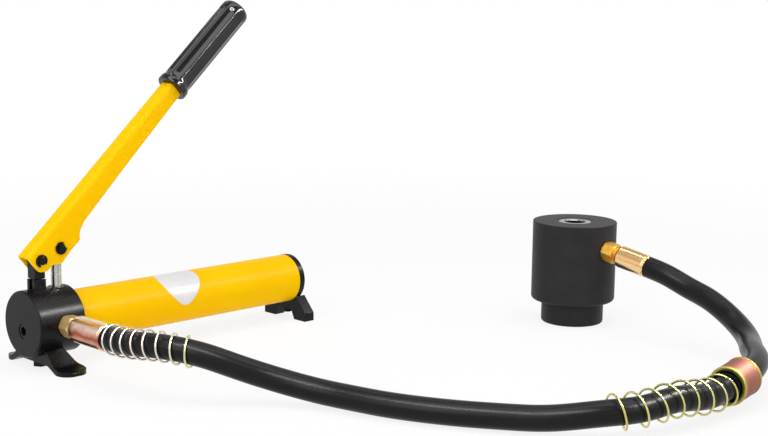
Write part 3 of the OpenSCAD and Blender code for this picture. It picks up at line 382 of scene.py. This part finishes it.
def groundSteel(name, centre, axisTurn, tones=("b4b2ae", "c6c4c0")):
    # Ground and polished steel: bright, with fine rings from the grinding wheel
    material, tree, shader = newMaterial(name, Metallic=1.0)
    cloudedColour(tree, shader, tones, 12)
    surfaceGrain(tree, shader, 0.5, (0.16, 0.3), 0.003, 0.3,
                 height=turnedMarks(tree, centre, axisTurn, 0.35))
    return material


ramBoreRadius = 11.1


def ramFinish():
    # The ram is ground all over, given a darker steel tone than the plunger's as painted shade, and painted
    # near-black inside its bore as painted shade
    material = groundSteel("Ground ram steel", (0, 0, 0), alongZ, ("7e7c7a", "8e8c89"))
    tree = material.node_tree
    shader = next(node for node in tree.nodes if node.type == "BSDF_PRINCIPLED")
    polished = shader.inputs["Base Color"].links[0].from_socket
    place = addNode(tree, "ShaderNodeTexCoord")
    parts = addNode(tree, "ShaderNodeSeparateXYZ", {"Vector": place.outputs["Object"]})
    flat = addNode(tree, "ShaderNodeCombineXYZ", {"X": parts.outputs["X"], "Y": parts.outputs["Y"]})
    radius = addNode(tree, "ShaderNodeVectorMath", {0: flat.outputs[0]}, operation="LENGTH")
    # Inside the bore the colour is near-black: painted shade in the bore
    inBore = addNode(tree, "ShaderNodeMath", {0: radius.outputs["Value"], 1: ramBoreRadius * mm},
                     operation="LESS_THAN")
    paintedBoreShade = addNode(tree, "ShaderNodeMix", {0: inBore.outputs[0], 6: polished, 7: linearColour("0d0c0e")},
                    data_type="RGBA")
    tree.links.new(paintedBoreShade.outputs[2], shader.inputs["Base Color"])
    return material


def zincGold(name, tones):
    # Yellow-passivated zinc plate on turned and milled steel: gold, drifting to pink and green
    material, tree, shader = newMaterial(name, Metallic=0.6)
    cloudedColour(tree, shader, tones, 9)
    surfaceGrain(tree, shader, 0.7, (0.32, 0.46), 0.004, 0.4)
    return material


def platedAndReflectionBands(name, tones, centre, axisTurn, driftMm):
    # Passivated plate on a turned shell, its colour set by angle round the shell: the bands are partly the
    # film's tint and partly painted reflection, a painted highlight and a painted dark band that stay in place
    # whatever the view
    material, tree, shader = newMaterial(name, Metallic=1.0)
    place = addNode(tree, "ShaderNodeTexCoord")
    centred = addNode(tree, "ShaderNodeVectorMath", {0: place.outputs["Object"], 1: toMetres(centre)},
                      operation="SUBTRACT")
    turned = addNode(tree, "ShaderNodeMapping", {"Vector": centred.outputs[0], "Rotation": axisTurn,
                                                 "Scale": (-1, 1, 1)})
    parts = addNode(tree, "ShaderNodeSeparateXYZ", {"Vector": turned.outputs["Vector"]})
    around = addNode(tree, "ShaderNodeMath", {0: parts.outputs["Y"], 1: parts.outputs["X"]},
                     operation="ARCTAN2")
    share = addNode(tree, "ShaderNodeMapRange", {
        "Value": around.outputs[0], "From Min": -math.pi, "From Max": math.pi})
    cloud = addNode(tree, "ShaderNodeTexNoise", {"Vector": centred.outputs[0], "Scale": 1 / (driftMm * mm)})
    drift = addNode(tree, "ShaderNodeMath", {0: cloud.outputs["Fac"], 1: 0.1, 2: share.outputs["Result"]},
                    operation="MULTIPLY_ADD")
    ramp = addNode(tree, "ShaderNodeValToRGB", {"Fac": drift.outputs[0]})
    spread(ramp.color_ramp, tones, 0.05, 1.05)
    tree.links.new(ramp.outputs["Color"], shader.inputs["Base Color"])
    surfaceGrain(tree, shader, 0.8, (0.16, 0.26), 0.003, 0.3)
    return material


def springWire(name, tones):
    # Passivated spring wire: thin plate over drawn wire, its tint changing from coil to coil
    material, tree, shader = newMaterial(name, Metallic=1.0)
    along = addNode(tree, "ShaderNodeAttribute", attribute_name="alongSpring")
    ramp = addNode(tree, "ShaderNodeValToRGB", {"Fac": along.outputs["Fac"]})
    spread(ramp.color_ramp, tones)
    tree.links.new(ramp.outputs["Color"], shader.inputs["Base Color"])
    surfaceGrain(tree, shader, 0.6, (0.12, 0.22), 0.003, 0)
    return material


def hoseCover():
    # Black thermoplastic hose cover, extruded: satin, with faint draw lines along it
    material, tree, shader = newMaterial("Extruded hose cover", IOR=1.5, Specular_IOR_Level=0.18)
    cloudedColour(tree, shader, ("0e0d0f", "131214"), 40)
    surfaceMap = addNode(tree, "ShaderNodeUVMap", uv_map="hoseMap")
    stretched = addNode(tree, "ShaderNodeMapping",
                        {"Vector": surfaceMap.outputs["UV"], "Scale": (1, 0.04, 1)})
    lines = addNode(tree, "ShaderNodeTexNoise",
                    {"Vector": stretched.outputs["Vector"], "Scale": 1 / (1.1 * mm), "Detail": 2.0})
    surfaceGrain(tree, shader, 0.8, (0.26, 0.36), 0.01, 0, height=lines.outputs["Fac"])
    return material


def gripRubber():
    # Dip-moulded vinyl grip: black, wet-looking gloss over a slightly wavy surface
    material, tree, shader = newMaterial("Dipped vinyl grip", IOR=1.52, Specular_IOR_Level=0.45)
    cloudedColour(tree, shader, ("080708", "0c0b0c"), 20)
    surfaceGrain(tree, shader, 5.0, (0.12, 0.18), 0.002, 0)
    return material


def nitrileRubber():
    # Nitrile seals: matt black, dusty in the grain
    material, tree, shader = newMaterial("Nitrile rubber", IOR=1.5)
    cloudedColour(tree, shader, ("131213", "1c1b1c"), 4)
    surfaceGrain(tree, shader, 0.5, (0.5, 0.68), 0.006, 0.2)
    return material


def sinteredBronze():
    # Sintered bronze filter: fused grains of brown bronze
    material, tree, shader = newMaterial("Sintered bronze", Metallic=1.0)
    cloudedColour(tree, shader, ("7d5c34", "a9865a"), 1.2)
    surfaceGrain(tree, shader, 0.5, (0.45, 0.7), 0.05, 0.2)
    return material


def vinylFilm():
    # Self-adhesive vinyl film: plain white, smooth, slightly soft in its gloss
    material, tree, shader = newMaterial("White vinyl film", IOR=1.46)
    cloudedColour(tree, shader, ("dedcdd", "e6e5e5"), 15)
    surfaceGrain(tree, shader, 2.0, (0.3, 0.4), 0.003, 0)
    return material


enamel = blackEnamel()
oxide = blackOxide()
powderCoat = yellowPowderCoat()
plungerSteel = groundSteel("Ground plunger steel", (-503, 218, 0), alongZ)
ramSteel = ramFinish()
brightSteel = groundSteel("Bright steel", pumpAxis, alongX)
zinc = zincGold("Pale passivated zinc", ("c9a055", "dcba78", "e2c08a", "cfc47c"))
zincBright = zincGold("Bright passivated zinc", ("cf8f1c", "dea634", "e6b248", "d8a436"))
pumpFerruleTurn = (math.radians(-90), 0, 0)
punchFerruleTurn = (math.radians(-90 - punchPort["tilt"]), 0, 0)
# Tones round the pump ferrule: partly the plate's tint and partly painted reflection, the palest tones a
# painted highlight and the brown one a painted dark band
pumpPlateAndReflectionTones = ("cf9a6a", "d8b27a", "cfcf90", "e6c4a0", "eab49c", "9c4624", "f2d2c0", "f6e0cc", "cfcf86",
                  "cf9a6a", "cf9a6a")
# Tones round the head ferrule: partly the plate's tint, with the pale middle tones a painted highlight and the
# darker end tones painted shade
punchPlateAndReflectionTones = ("e0a868", "f3cf94", "f6d8a4", "f0c288", "f3cf94", "e0a868")
pumpPlate = platedAndReflectionBands("Passivated pump ferrule with painted reflections", pumpPlateAndReflectionTones, pumpPort["place"], pumpFerruleTurn, 14)
punchPlate = platedAndReflectionBands("Passivated head ferrule with painted reflections", punchPlateAndReflectionTones, (0, 0, punchPort["height"]),
                         punchFerruleTurn, 18)
guardWire = springWire("Passivated guard wire", ("e6dfd6", "d9cfc6", "e4d2c8", "dcd8c4", "cfd08c"))
couplerWire = springWire("Passivated coupler wire", ("c8b86a", "d2cf88", "c4c070", "d4cc90", "b9b45e"))
returnWire = springWire("Shot-peened spring steel", ("8f8d8b", "a3a19f"))
cover = hoseCover()
vinyl = gripRubber()
nitrile = nitrileRubber()
bronze = sinteredBronze()
film = vinylFilm()


springTree = makeSpringTree()


def guardSpring(name, key, finish):
    spring = springs[key]
    line = routeStretch(hose["mainRoute"], *spring["span"], spring["turns"] * springs["pointsPerTurn"])
    return woundSpring(name, springTree, line, spring, skyward, finish)


pumpGuardSpring = guardSpring("pumpGuardSpring", "pumpGuard", guardWire)
couplerGuardSpring = guardSpring("couplerGuardSpring", "couplerGuard", couplerWire)


def returnRise(t):
    # The end turns lie nearly flat, and the middle turns take the rise
    return t * t * (3 - 2 * t) * 0.5 + t * 0.5


def makeReturnSpring():
    spring = springs["ramReturn"]
    count = spring["turns"] * springs["pointsPerTurn"]
    rise = spring["top"] - spring["bottom"]
    line = [toMetres((0, 0, spring["bottom"] + rise * returnRise(i / count))) for i in range(count + 1)]
    return woundSpring("returnSpring", springTree, line, spring, Vector((0, 1, 0)), returnWire)


def makeReliefSpring():
    spring = springs["relief"]
    count = spring["turns"] * springs["pointsPerTurn"]
    start = Vector(spring["start"])
    line = [(start + Vector((spring["length"] * i / count, 0, 0))) * mm for i in range(count + 1)]
    return woundSpring("reliefSpring", springTree, line, spring, skyward, returnWire)


returnSpring = makeReturnSpring()
reliefSpring = makeReliefSpring()


print("Coupler sleeve")
sleeve = {
    "radius": 17.1,
    "rimRadius": 17.6,
    "firstRim": 3.2,
    "lastRim": 3.4,
    "wall": 2.9,
    "inset": 0.5,
    "knurlsAround": 44,
    "knurlPitch": 2.4,
    "knurlDepth": 0.5,
    "stepsPerKnurl": 4,
}


def knurlHeight(around, along):
    # Two crossed sets of grooves leave rows of small pyramids
    leftHand = abs((around + along) % 1 * 2 - 1)
    rightHand = abs((around - along) % 1 * 2 - 1)
    return min(leftHand, rightHand)


def sleeveRows():
    # Rows along the sleeve as (along, radius, knurled), from its first mouth to its last
    first, last = sleeve["inset"], coupler["length"] - sleeve["inset"]
    inner = sleeve["radius"] - sleeve["wall"]
    rim, plain = sleeve["rimRadius"], sleeve["radius"]
    knurlFirst, knurlLast = first + sleeve["firstRim"], last - sleeve["lastRim"]
    rows = [(first, inner, 0), (first, rim - 0.7, 0), (first + 0.2, rim - 0.2, 0), (first + 0.7, rim, 0),
            (knurlFirst - 0.7, rim, 0), (knurlFirst - 0.2, rim - 0.15, 0), (knurlFirst, plain - 0.35, 0)]
    count = int((knurlLast - knurlFirst) / sleeve["knurlPitch"] * sleeve["stepsPerKnurl"])
    rows += [(knurlFirst + (knurlLast - knurlFirst) * (i + 1) / (count + 1), plain, 1) for i in range(count)]
    rows += [(knurlLast, plain - 0.35, 0), (knurlLast + 0.2, rim - 0.15, 0), (knurlLast + 0.7, rim, 0),
             (last - 0.7, rim, 0), (last - 0.2, rim - 0.2, 0), (last, rim - 0.7, 0), (last, inner, 0)]
    return rows


def makeSleeve():
    side = skyward.cross(couplerAlong).normalized()
    above = couplerAlong.cross(side)
    sides = sleeve["knurlsAround"] * sleeve["stepsPerKnurl"]
    points = []
    rows = sleeveRows()
    for along, radius, knurled in rows:
        for j in range(sides):
            lift = knurled * sleeve["knurlDepth"] * (knurlHeight(
                j / sleeve["stepsPerKnurl"], along / sleeve["knurlPitch"]) - 0.5)
            angle = math.tau * j / sides
            outward = math.cos(angle) * side + math.sin(angle) * above
            points.append((couplerStart + along * couplerAlong + (radius + lift) * outward) * mm)
    faces = ringFaces(len(rows), sides)
    last = len(points) - sides
    # The bore, from the last ring back to the first, is the last row of faces and takes the second finish
    faces += [(last + j, last + (j + 1) % sides, (j + 1) % sides, j) for j in range(sides)]
    piece = newMesh("couplerSleeve", points, faces)
    for face in piece.data.polygons[-sides:]:
        face.material_index = 1
    return piece


def sleeveFinish():
    # Passivated knurled steel: copper pink on the knurl, yellow-green on the plain rims
    material, tree, shader = newMaterial("Passivated knurled sleeve", Metallic=1.0)
    place = addNode(tree, "ShaderNodeTexCoord")
    centred = addNode(tree, "ShaderNodeVectorMath",
                      {0: place.outputs["Object"], 1: toMetres(coupler["start"])}, operation="SUBTRACT")
    travel = addNode(tree, "ShaderNodeVectorMath", {0: centred.outputs[0], 1: couplerAlong},
                     operation="DOT_PRODUCT")
    share = addNode(tree, "ShaderNodeMath", {0: travel.outputs["Value"], 1: coupler["length"] * mm},
                    operation="DIVIDE")
    cloud = addNode(tree, "ShaderNodeTexNoise", {"Vector": centred.outputs[0], "Scale": 1 / (16 * mm)})
    drift = addNode(tree, "ShaderNodeMath", {0: cloud.outputs["Fac"], 1: 0.08, 2: share.outputs[0]},
                    operation="MULTIPLY_ADD")
    bands = addNode(tree, "ShaderNodeValToRGB", {"Fac": drift.outputs[0]})
    ramp = bands.color_ramp
    tones = ((0.06, "aba657"), (0.13, "a1754f"), (0.3, "916152"), (0.75, "966559"), (0.93, "9c704c"),
             (0.99, "a39d52"))
    spread(ramp, [tone for where, tone in tones])
    for element, (where, tone) in zip(ramp.elements, tones):
        element.position = where
    tree.links.new(bands.outputs["Color"], shader.inputs["Base Color"])
    surfaceGrain(tree, shader, 0.8, (0.44, 0.56), 0.003, 0.1)
    return material


couplerSleeve = makeSleeve()
couplerSleeve.data.materials.append(sleeveFinish())
couplerSleeve.data.materials.append(oxide)


print("Grip")
lever = {"pin": (-524.2, 218, 102.2), "angle": 42.6, "length": 217}
grip = {
    "sides": 160,
    "radius": 14.5,
    "bead": 15.8,
    "beadLength": 7,
    "mouth": 6.42,
    "length": 114,
    "lift": 4.85,
    "flutes": 8,
    "fluteDepth": 1.5,
    "fluteStart": 14,
    "fluteEnd": 106,
    "fluteRunOut": 6,
    "domeRadius": 6,
}
leverAngle = math.radians(lever["angle"])
leverAlong = Vector((math.cos(leverAngle), 0, math.sin(leverAngle)))
leverAbove = Vector((-math.sin(leverAngle), 0, math.cos(leverAngle)))
leverAcross = Vector((0, 1, 0))


def easeStep(value, first, last):
    t = min(max((value - first) / (last - first), 0), 1)
    return t * t * (3 - 2 * t)


def gripRadius(along):
    # A bead at the mouth, a straight body and a domed end
    dome = grip["domeRadius"]
    if along < 1.5:
        return grip["bead"] - 1.5 + math.sqrt(1.5 ** 2 - (1.5 - along) ** 2)
    if along > grip["length"] - dome:
        return grip["radius"] - dome + math.sqrt(max(dome ** 2 - (along - grip["length"] + dome) ** 2, 0))
    return grip["bead"] + (grip["radius"] - grip["bead"]) * easeStep(along, grip["beadLength"] - 2,
                                                                     grip["beadLength"] + 2)


def fluteCut(angle, along):
    # Broad hollows between round ribs, which run out at both ends
    share = 0.5 + 0.5 * math.cos(grip["flutes"] * angle)
    runOut = easeStep(along, grip["fluteStart"] - grip["fluteRunOut"], grip["fluteStart"])
    runOut *= 1 - easeStep(along, grip["fluteEnd"] - grip["fluteRunOut"], grip["fluteEnd"])
    return grip["fluteDepth"] * share ** 0.75 * runOut


def gripStations():
    # Places along the grip, close together round the bead, the run-outs and the dome
    length, dome = grip["length"], grip["domeRadius"]
    mouth = [1.5 * (1 - math.cos(math.radians(a))) for a in range(0, 91, 15)]
    body = [2.5 + i for i in range(int(length - dome - 2.5))]
    end = [length - dome + dome * math.sin(math.radians(a)) for a in range(0, 91, 6)]
    return mouth + body + end


def makeGrip():
    sides = grip["sides"]
    stations = gripStations()
    start = Vector(lever["pin"]) + (lever["length"] + 0.1) * leverAlong + grip["lift"] * leverAbove
    rings = [(0, grip["mouth"], False)] + [(s, gripRadius(s), True) for s in stations]
    points = []
    for along, radius, fluted in rings:
        for j in range(sides):
            angle = math.tau * j / sides
            reach = radius - (fluteCut(angle, along) if fluted else 0)
            outward = math.cos(angle) * leverAcross + math.sin(angle) * leverAbove
            points.append((start + along * leverAlong + reach * outward) * mm)
    points.append((start + grip["length"] * leverAlong) * mm)
    faces = ringFaces(len(rings), sides)
    last = (len(rings) - 1) * sides
    faces += [(last + j, last + (j + 1) % sides, len(points) - 1) for j in range(sides)]
    faces.append(tuple(reversed(range(sides))))
    piece = newMesh("vinylGrip", points, faces)
    facesOutward(piece)
    return piece


def facesOutward(piece):
    work = bmesh.new()
    work.from_mesh(piece.data)
    bmesh.ops.recalc_face_normals(work, faces=work.faces)
    work.to_mesh(piece.data)
    work.free()


for made in (hoseMain, hoseTail, couplerSleeve):
    facesOutward(made)
vinylGrip = makeGrip()
vinylGrip.data.materials.append(vinyl)
hoseMain.data.materials.append(cover)
hoseTail.data.materials.append(cover)


print("Soft edges")
softEdges = {
    "mergeDistance": 0.002,
    "sharpAngle": 32,
    "segments": 3,
}


def softEdged(name, node, width, finish):
    # A merged copy of the node with its edges rounded, as casting, pressing and paint leave them
    work = bmesh.new()
    work.from_mesh(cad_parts[node].data)
    bmesh.ops.remove_doubles(work, verts=work.verts, dist=softEdges["mergeDistance"] * mm)
    bmesh.ops.dissolve_limit(work, angle_limit=math.radians(0.5), verts=work.verts, edges=work.edges)
    bmesh.ops.recalc_face_normals(work, faces=work.faces)
    mesh = bpy.data.meshes.new(name)
    work.to_mesh(mesh)
    work.free()
    if "custom_normal" in mesh.attributes:
        mesh.attributes.remove(mesh.attributes["custom_normal"])
    mesh.polygons.foreach_set("use_smooth", [True] * len(mesh.polygons))
    mesh.materials.clear()
    mesh.materials.append(finish)
    piece = inScene(name, mesh)
    rounding = piece.modifiers.new("Rounded edges", "BEVEL")
    rounding.width = width * mm
    rounding.segments = softEdges["segments"]
    rounding.limit_method = "ANGLE"
    rounding.angle_limit = math.radians(softEdges["sharpAngle"])
    rounding.harden_normals = True
    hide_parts(node)
    return piece


frontFoot = softEdged("frontFootCasting", "front_foot", 0.8, enamel)
rearFoot = softEdged("rearFootCasting", "rear_foot", 0.6, enamel)
leverChannel = softEdged("leverChannel", "lever_channel", 0.5, powderCoat)


print("Finishes on the packed pieces")
finishes = (
    (enamel, ("pump_head", "front_plug", "gland_nut", "link_lug", "link_pin", "lever_link",
              "front_lever_pin", "front_pin_clips", "rear_lever_pin", "rear_pin_clips", "release_knob",
              "end_cap", "filler_plug", "front_foot_bolt", "rear_foot_screw", "front_foot", "rear_foot")),
    (powderCoat, ("reservoir_tube", "lever_channel")),
    (oxide, ("punch_cylinder", "punch_end_cap", "coupler_body")),
    (plungerSteel, ("plunger",)),
    (ramSteel, ("ram",)),
    (brightSteel, ("release_spindle", "tie_rod", "suction_tube", "handle_rod", "inlet_ball", "outlet_ball",
                   "relief_ball", "relief_spring", "return_spring")),
    (zinc, ("pump_hose_nut", "tie_nut", "coupler_sleeve")),
    (zincBright, ("punch_hose_nut",)),
    (pumpPlate, ("pump_ferrule",)),
    (punchPlate, ("punch_ferrule",)),
    (guardWire, ("pump_guard_spring", "coupler_guard_spring")),
    (cover, ("hose_main", "hose_tail")),
    (vinyl, ("grip",)),
    (nitrile, ("plunger_seal", "tube_orings", "cap_oring", "ram_seal", "rod_seal", "wiper_ring")),
    (bronze, ("suction_filter",)),
    (film, ("tube_label",)),
)
for finish, nodeNames in finishes:
    for nodeName in nodeNames:
        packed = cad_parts[nodeName]
        packed.data.materials.clear()
        packed.data.materials.append(finish)


print("What each piece rides on")
rides = (
    (hoseMain, "pump_and_cylinder", "hose_rubber", ("hose_main",)),
    (hoseTail, "pump_and_cylinder", "hose_rubber", ("hose_tail",)),
    (pumpGuardSpring, "pump_and_cylinder", "spring_wire", ("pump_guard_spring",)),
    (couplerGuardSpring, "pump_and_cylinder", "spring_wire", ("coupler_guard_spring",)),
    (returnSpring, "pump_and_cylinder", "return_spring_steel", ("return_spring",)),
    (reliefSpring, "pump_and_cylinder", "return_spring_steel", ("relief_spring",)),
    (couplerSleeve, "coupler", "sleeve_plate", ("coupler_sleeve",)),
    (vinylGrip, "lever", "grip_rubber", ("grip",)),
    (frontFoot, "pump_and_cylinder", "blacked_steel", ()),
    (rearFoot, "pump_and_cylinder", "blacked_steel", ()),
    (leverChannel, "lever", "yellow_paint", ()),
)
for piece, body, slotName, nodeNames in rides:
    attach(piece, body)
    if nodeNames:
        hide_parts(*nodeNames)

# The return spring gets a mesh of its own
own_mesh(returnSpring)


print("Floor and light")
studio = {
    "floorSize": 12,
    "floorTone": "f2f2f2",
    "ambient": 0.55,
    "overhead": 0.4,
    "whiteShare": (0.84, 1.0),
    "whiteFrom": (0.55, 1.5),
    "centre": (-270, -20, 0),
    "lamps": (
        {"name": "Top box", "place": (-0.35, -0.15, 1.5), "aim": (-0.28, 0.0, 0.0), "size": (1.8, 0.7),
         "watts": 11},
        {"name": "Left box", "place": (-1.9, -0.3, 0.9), "aim": (-0.4, 0.0, 0.05), "size": (0.9, 1.0),
         "watts": 8},
        {"name": "Front box", "place": (-0.2, -1.9, 0.8), "aim": (-0.25, -0.1, 0.05), "size": (1.2, 0.8),
         "watts": 4},
        {"name": "Overhead strip", "place": (0.1, 0.5, 1.3), "aim": (-0.3, 0.15, 0.0), "size": (1.7, 0.05),
         "watts": 3, "glossyOnly": True},
        {"name": "Front strip", "place": (0.25, -0.78, 0.87), "aim": (-0.5, 0.2, 0.05), "size": (1.1, 0.05),
         "watts": 30, "glossyOnly": True},
        {"name": "Left strip", "place": (-1.0, -0.3, 0.95), "aim": (-0.37, -0.18, 0.0), "size": (0.9, 0.12),
         "watts": 12, "glossyOnly": True},
    ),
}


def seenDirectly(tree):
    # 1 where a camera, glossy or transmitted ray arrives, and 0 for the light that falls on things
    path = addNode(tree, "ShaderNodeLightPath")
    mirrored = addNode(tree, "ShaderNodeMath", {
        0: path.outputs["Is Camera Ray"], 1: path.outputs["Is Glossy Ray"]}, operation="MAXIMUM")
    through = addNode(tree, "ShaderNodeMath", {
        0: mirrored.outputs[0], 1: path.outputs["Is Transmission Ray"]}, operation="MAXIMUM")
    return through.outputs[0]


def makeFloor():
    half = studio["floorSize"] / 2
    floor = newMesh("Floor", [(-half, -half, 0), (half, -half, 0), (half, half, 0), (-half, half, 0)],
                    [(0, 1, 2, 3)])
    # Matt white paper sweep: it takes the soft shadow and otherwise shows as plain white
    material, tree, shader = newMaterial("White paper sweep", Roughness=0.9)
    shader.inputs["Base Color"].default_value = linearColour(studio["floorTone"])
    white = addNode(tree, "ShaderNodeEmission", {"Color": (1, 1, 1, 1), "Strength": 1.0})
    place = addNode(tree, "ShaderNodeTexCoord")
    reach = addNode(tree, "ShaderNodeVectorMath",
                    {0: place.outputs["Object"], 1: toMetres(studio["centre"])}, operation="DISTANCE")
    near, far = studio["whiteFrom"]
    whiter = addNode(tree, "ShaderNodeMapRange", {
        "Value": reach.outputs["Value"], "From Min": near, "From Max": far,
        "To Min": studio["whiteShare"][0], "To Max": studio["whiteShare"][1]}, interpolation_type="SMOOTHSTEP")
    share = addNode(tree, "ShaderNodeMath", {0: seenDirectly(tree), 1: whiter.outputs["Result"]},
                    operation="MULTIPLY")
    mixed = addNode(tree, "ShaderNodeMixShader",
                    {0: share.outputs[0], 1: shader.outputs["BSDF"], 2: white.outputs["Emission"]})
    output = next(node for node in tree.nodes if node.type == "OUTPUT_MATERIAL")
    tree.links.new(mixed.outputs[0], output.inputs["Surface"])
    floor.data.materials.append(material)


def makeWorld():
    world = bpy.data.worlds.new("Studio")
    bpy.context.scene.world = world
    world.use_nodes = True
    tree = world.node_tree
    tree.nodes.clear()
    # The sweep is white up to the horizon and above it, and falls off overhead, where only the lamps are
    place = addNode(tree, "ShaderNodeTexCoord")
    parts = addNode(tree, "ShaderNodeSeparateXYZ", {"Vector": place.outputs["Generated"]})
    sweep = addNode(tree, "ShaderNodeMapRange", {
        "Value": parts.outputs["Z"], "From Min": 0.25, "From Max": 0.75, "To Min": 1.0,
        "To Max": studio["overhead"]}, interpolation_type="SMOOTHSTEP")
    strength = addNode(tree, "ShaderNodeMapRange", {
        "Value": seenDirectly(tree), "To Min": studio["ambient"], "To Max": sweep.outputs["Result"]})
    background = addNode(tree, "ShaderNodeBackground", {"Color": (1, 1, 1, 1),
                                                        "Strength": strength.outputs["Result"]})
    addNode(tree, "ShaderNodeOutputWorld", {"Surface": background.outputs["Background"]})


def makeLamp(lamp):
    data = bpy.data.lights.new(lamp["name"], "AREA")
    data.shape = "RECTANGLE"
    data.size, data.size_y = lamp["size"]
    data.energy = lamp["watts"]
    made = inScene(lamp["name"], data)
    # A strip shows as a highlight in glossy finishes and adds no light of its own
    made.visible_diffuse = not lamp.get("glossyOnly", False)
    place = Vector(lamp["place"])
    made.matrix_world = Matrix.Translation(place) @ (
        Vector(lamp["aim"]) - place).to_track_quat("-Z", "Y").to_matrix().to_4x4()


makeFloor()
makeWorld()
for lamp in studio["lamps"]:
    makeLamp(lamp)
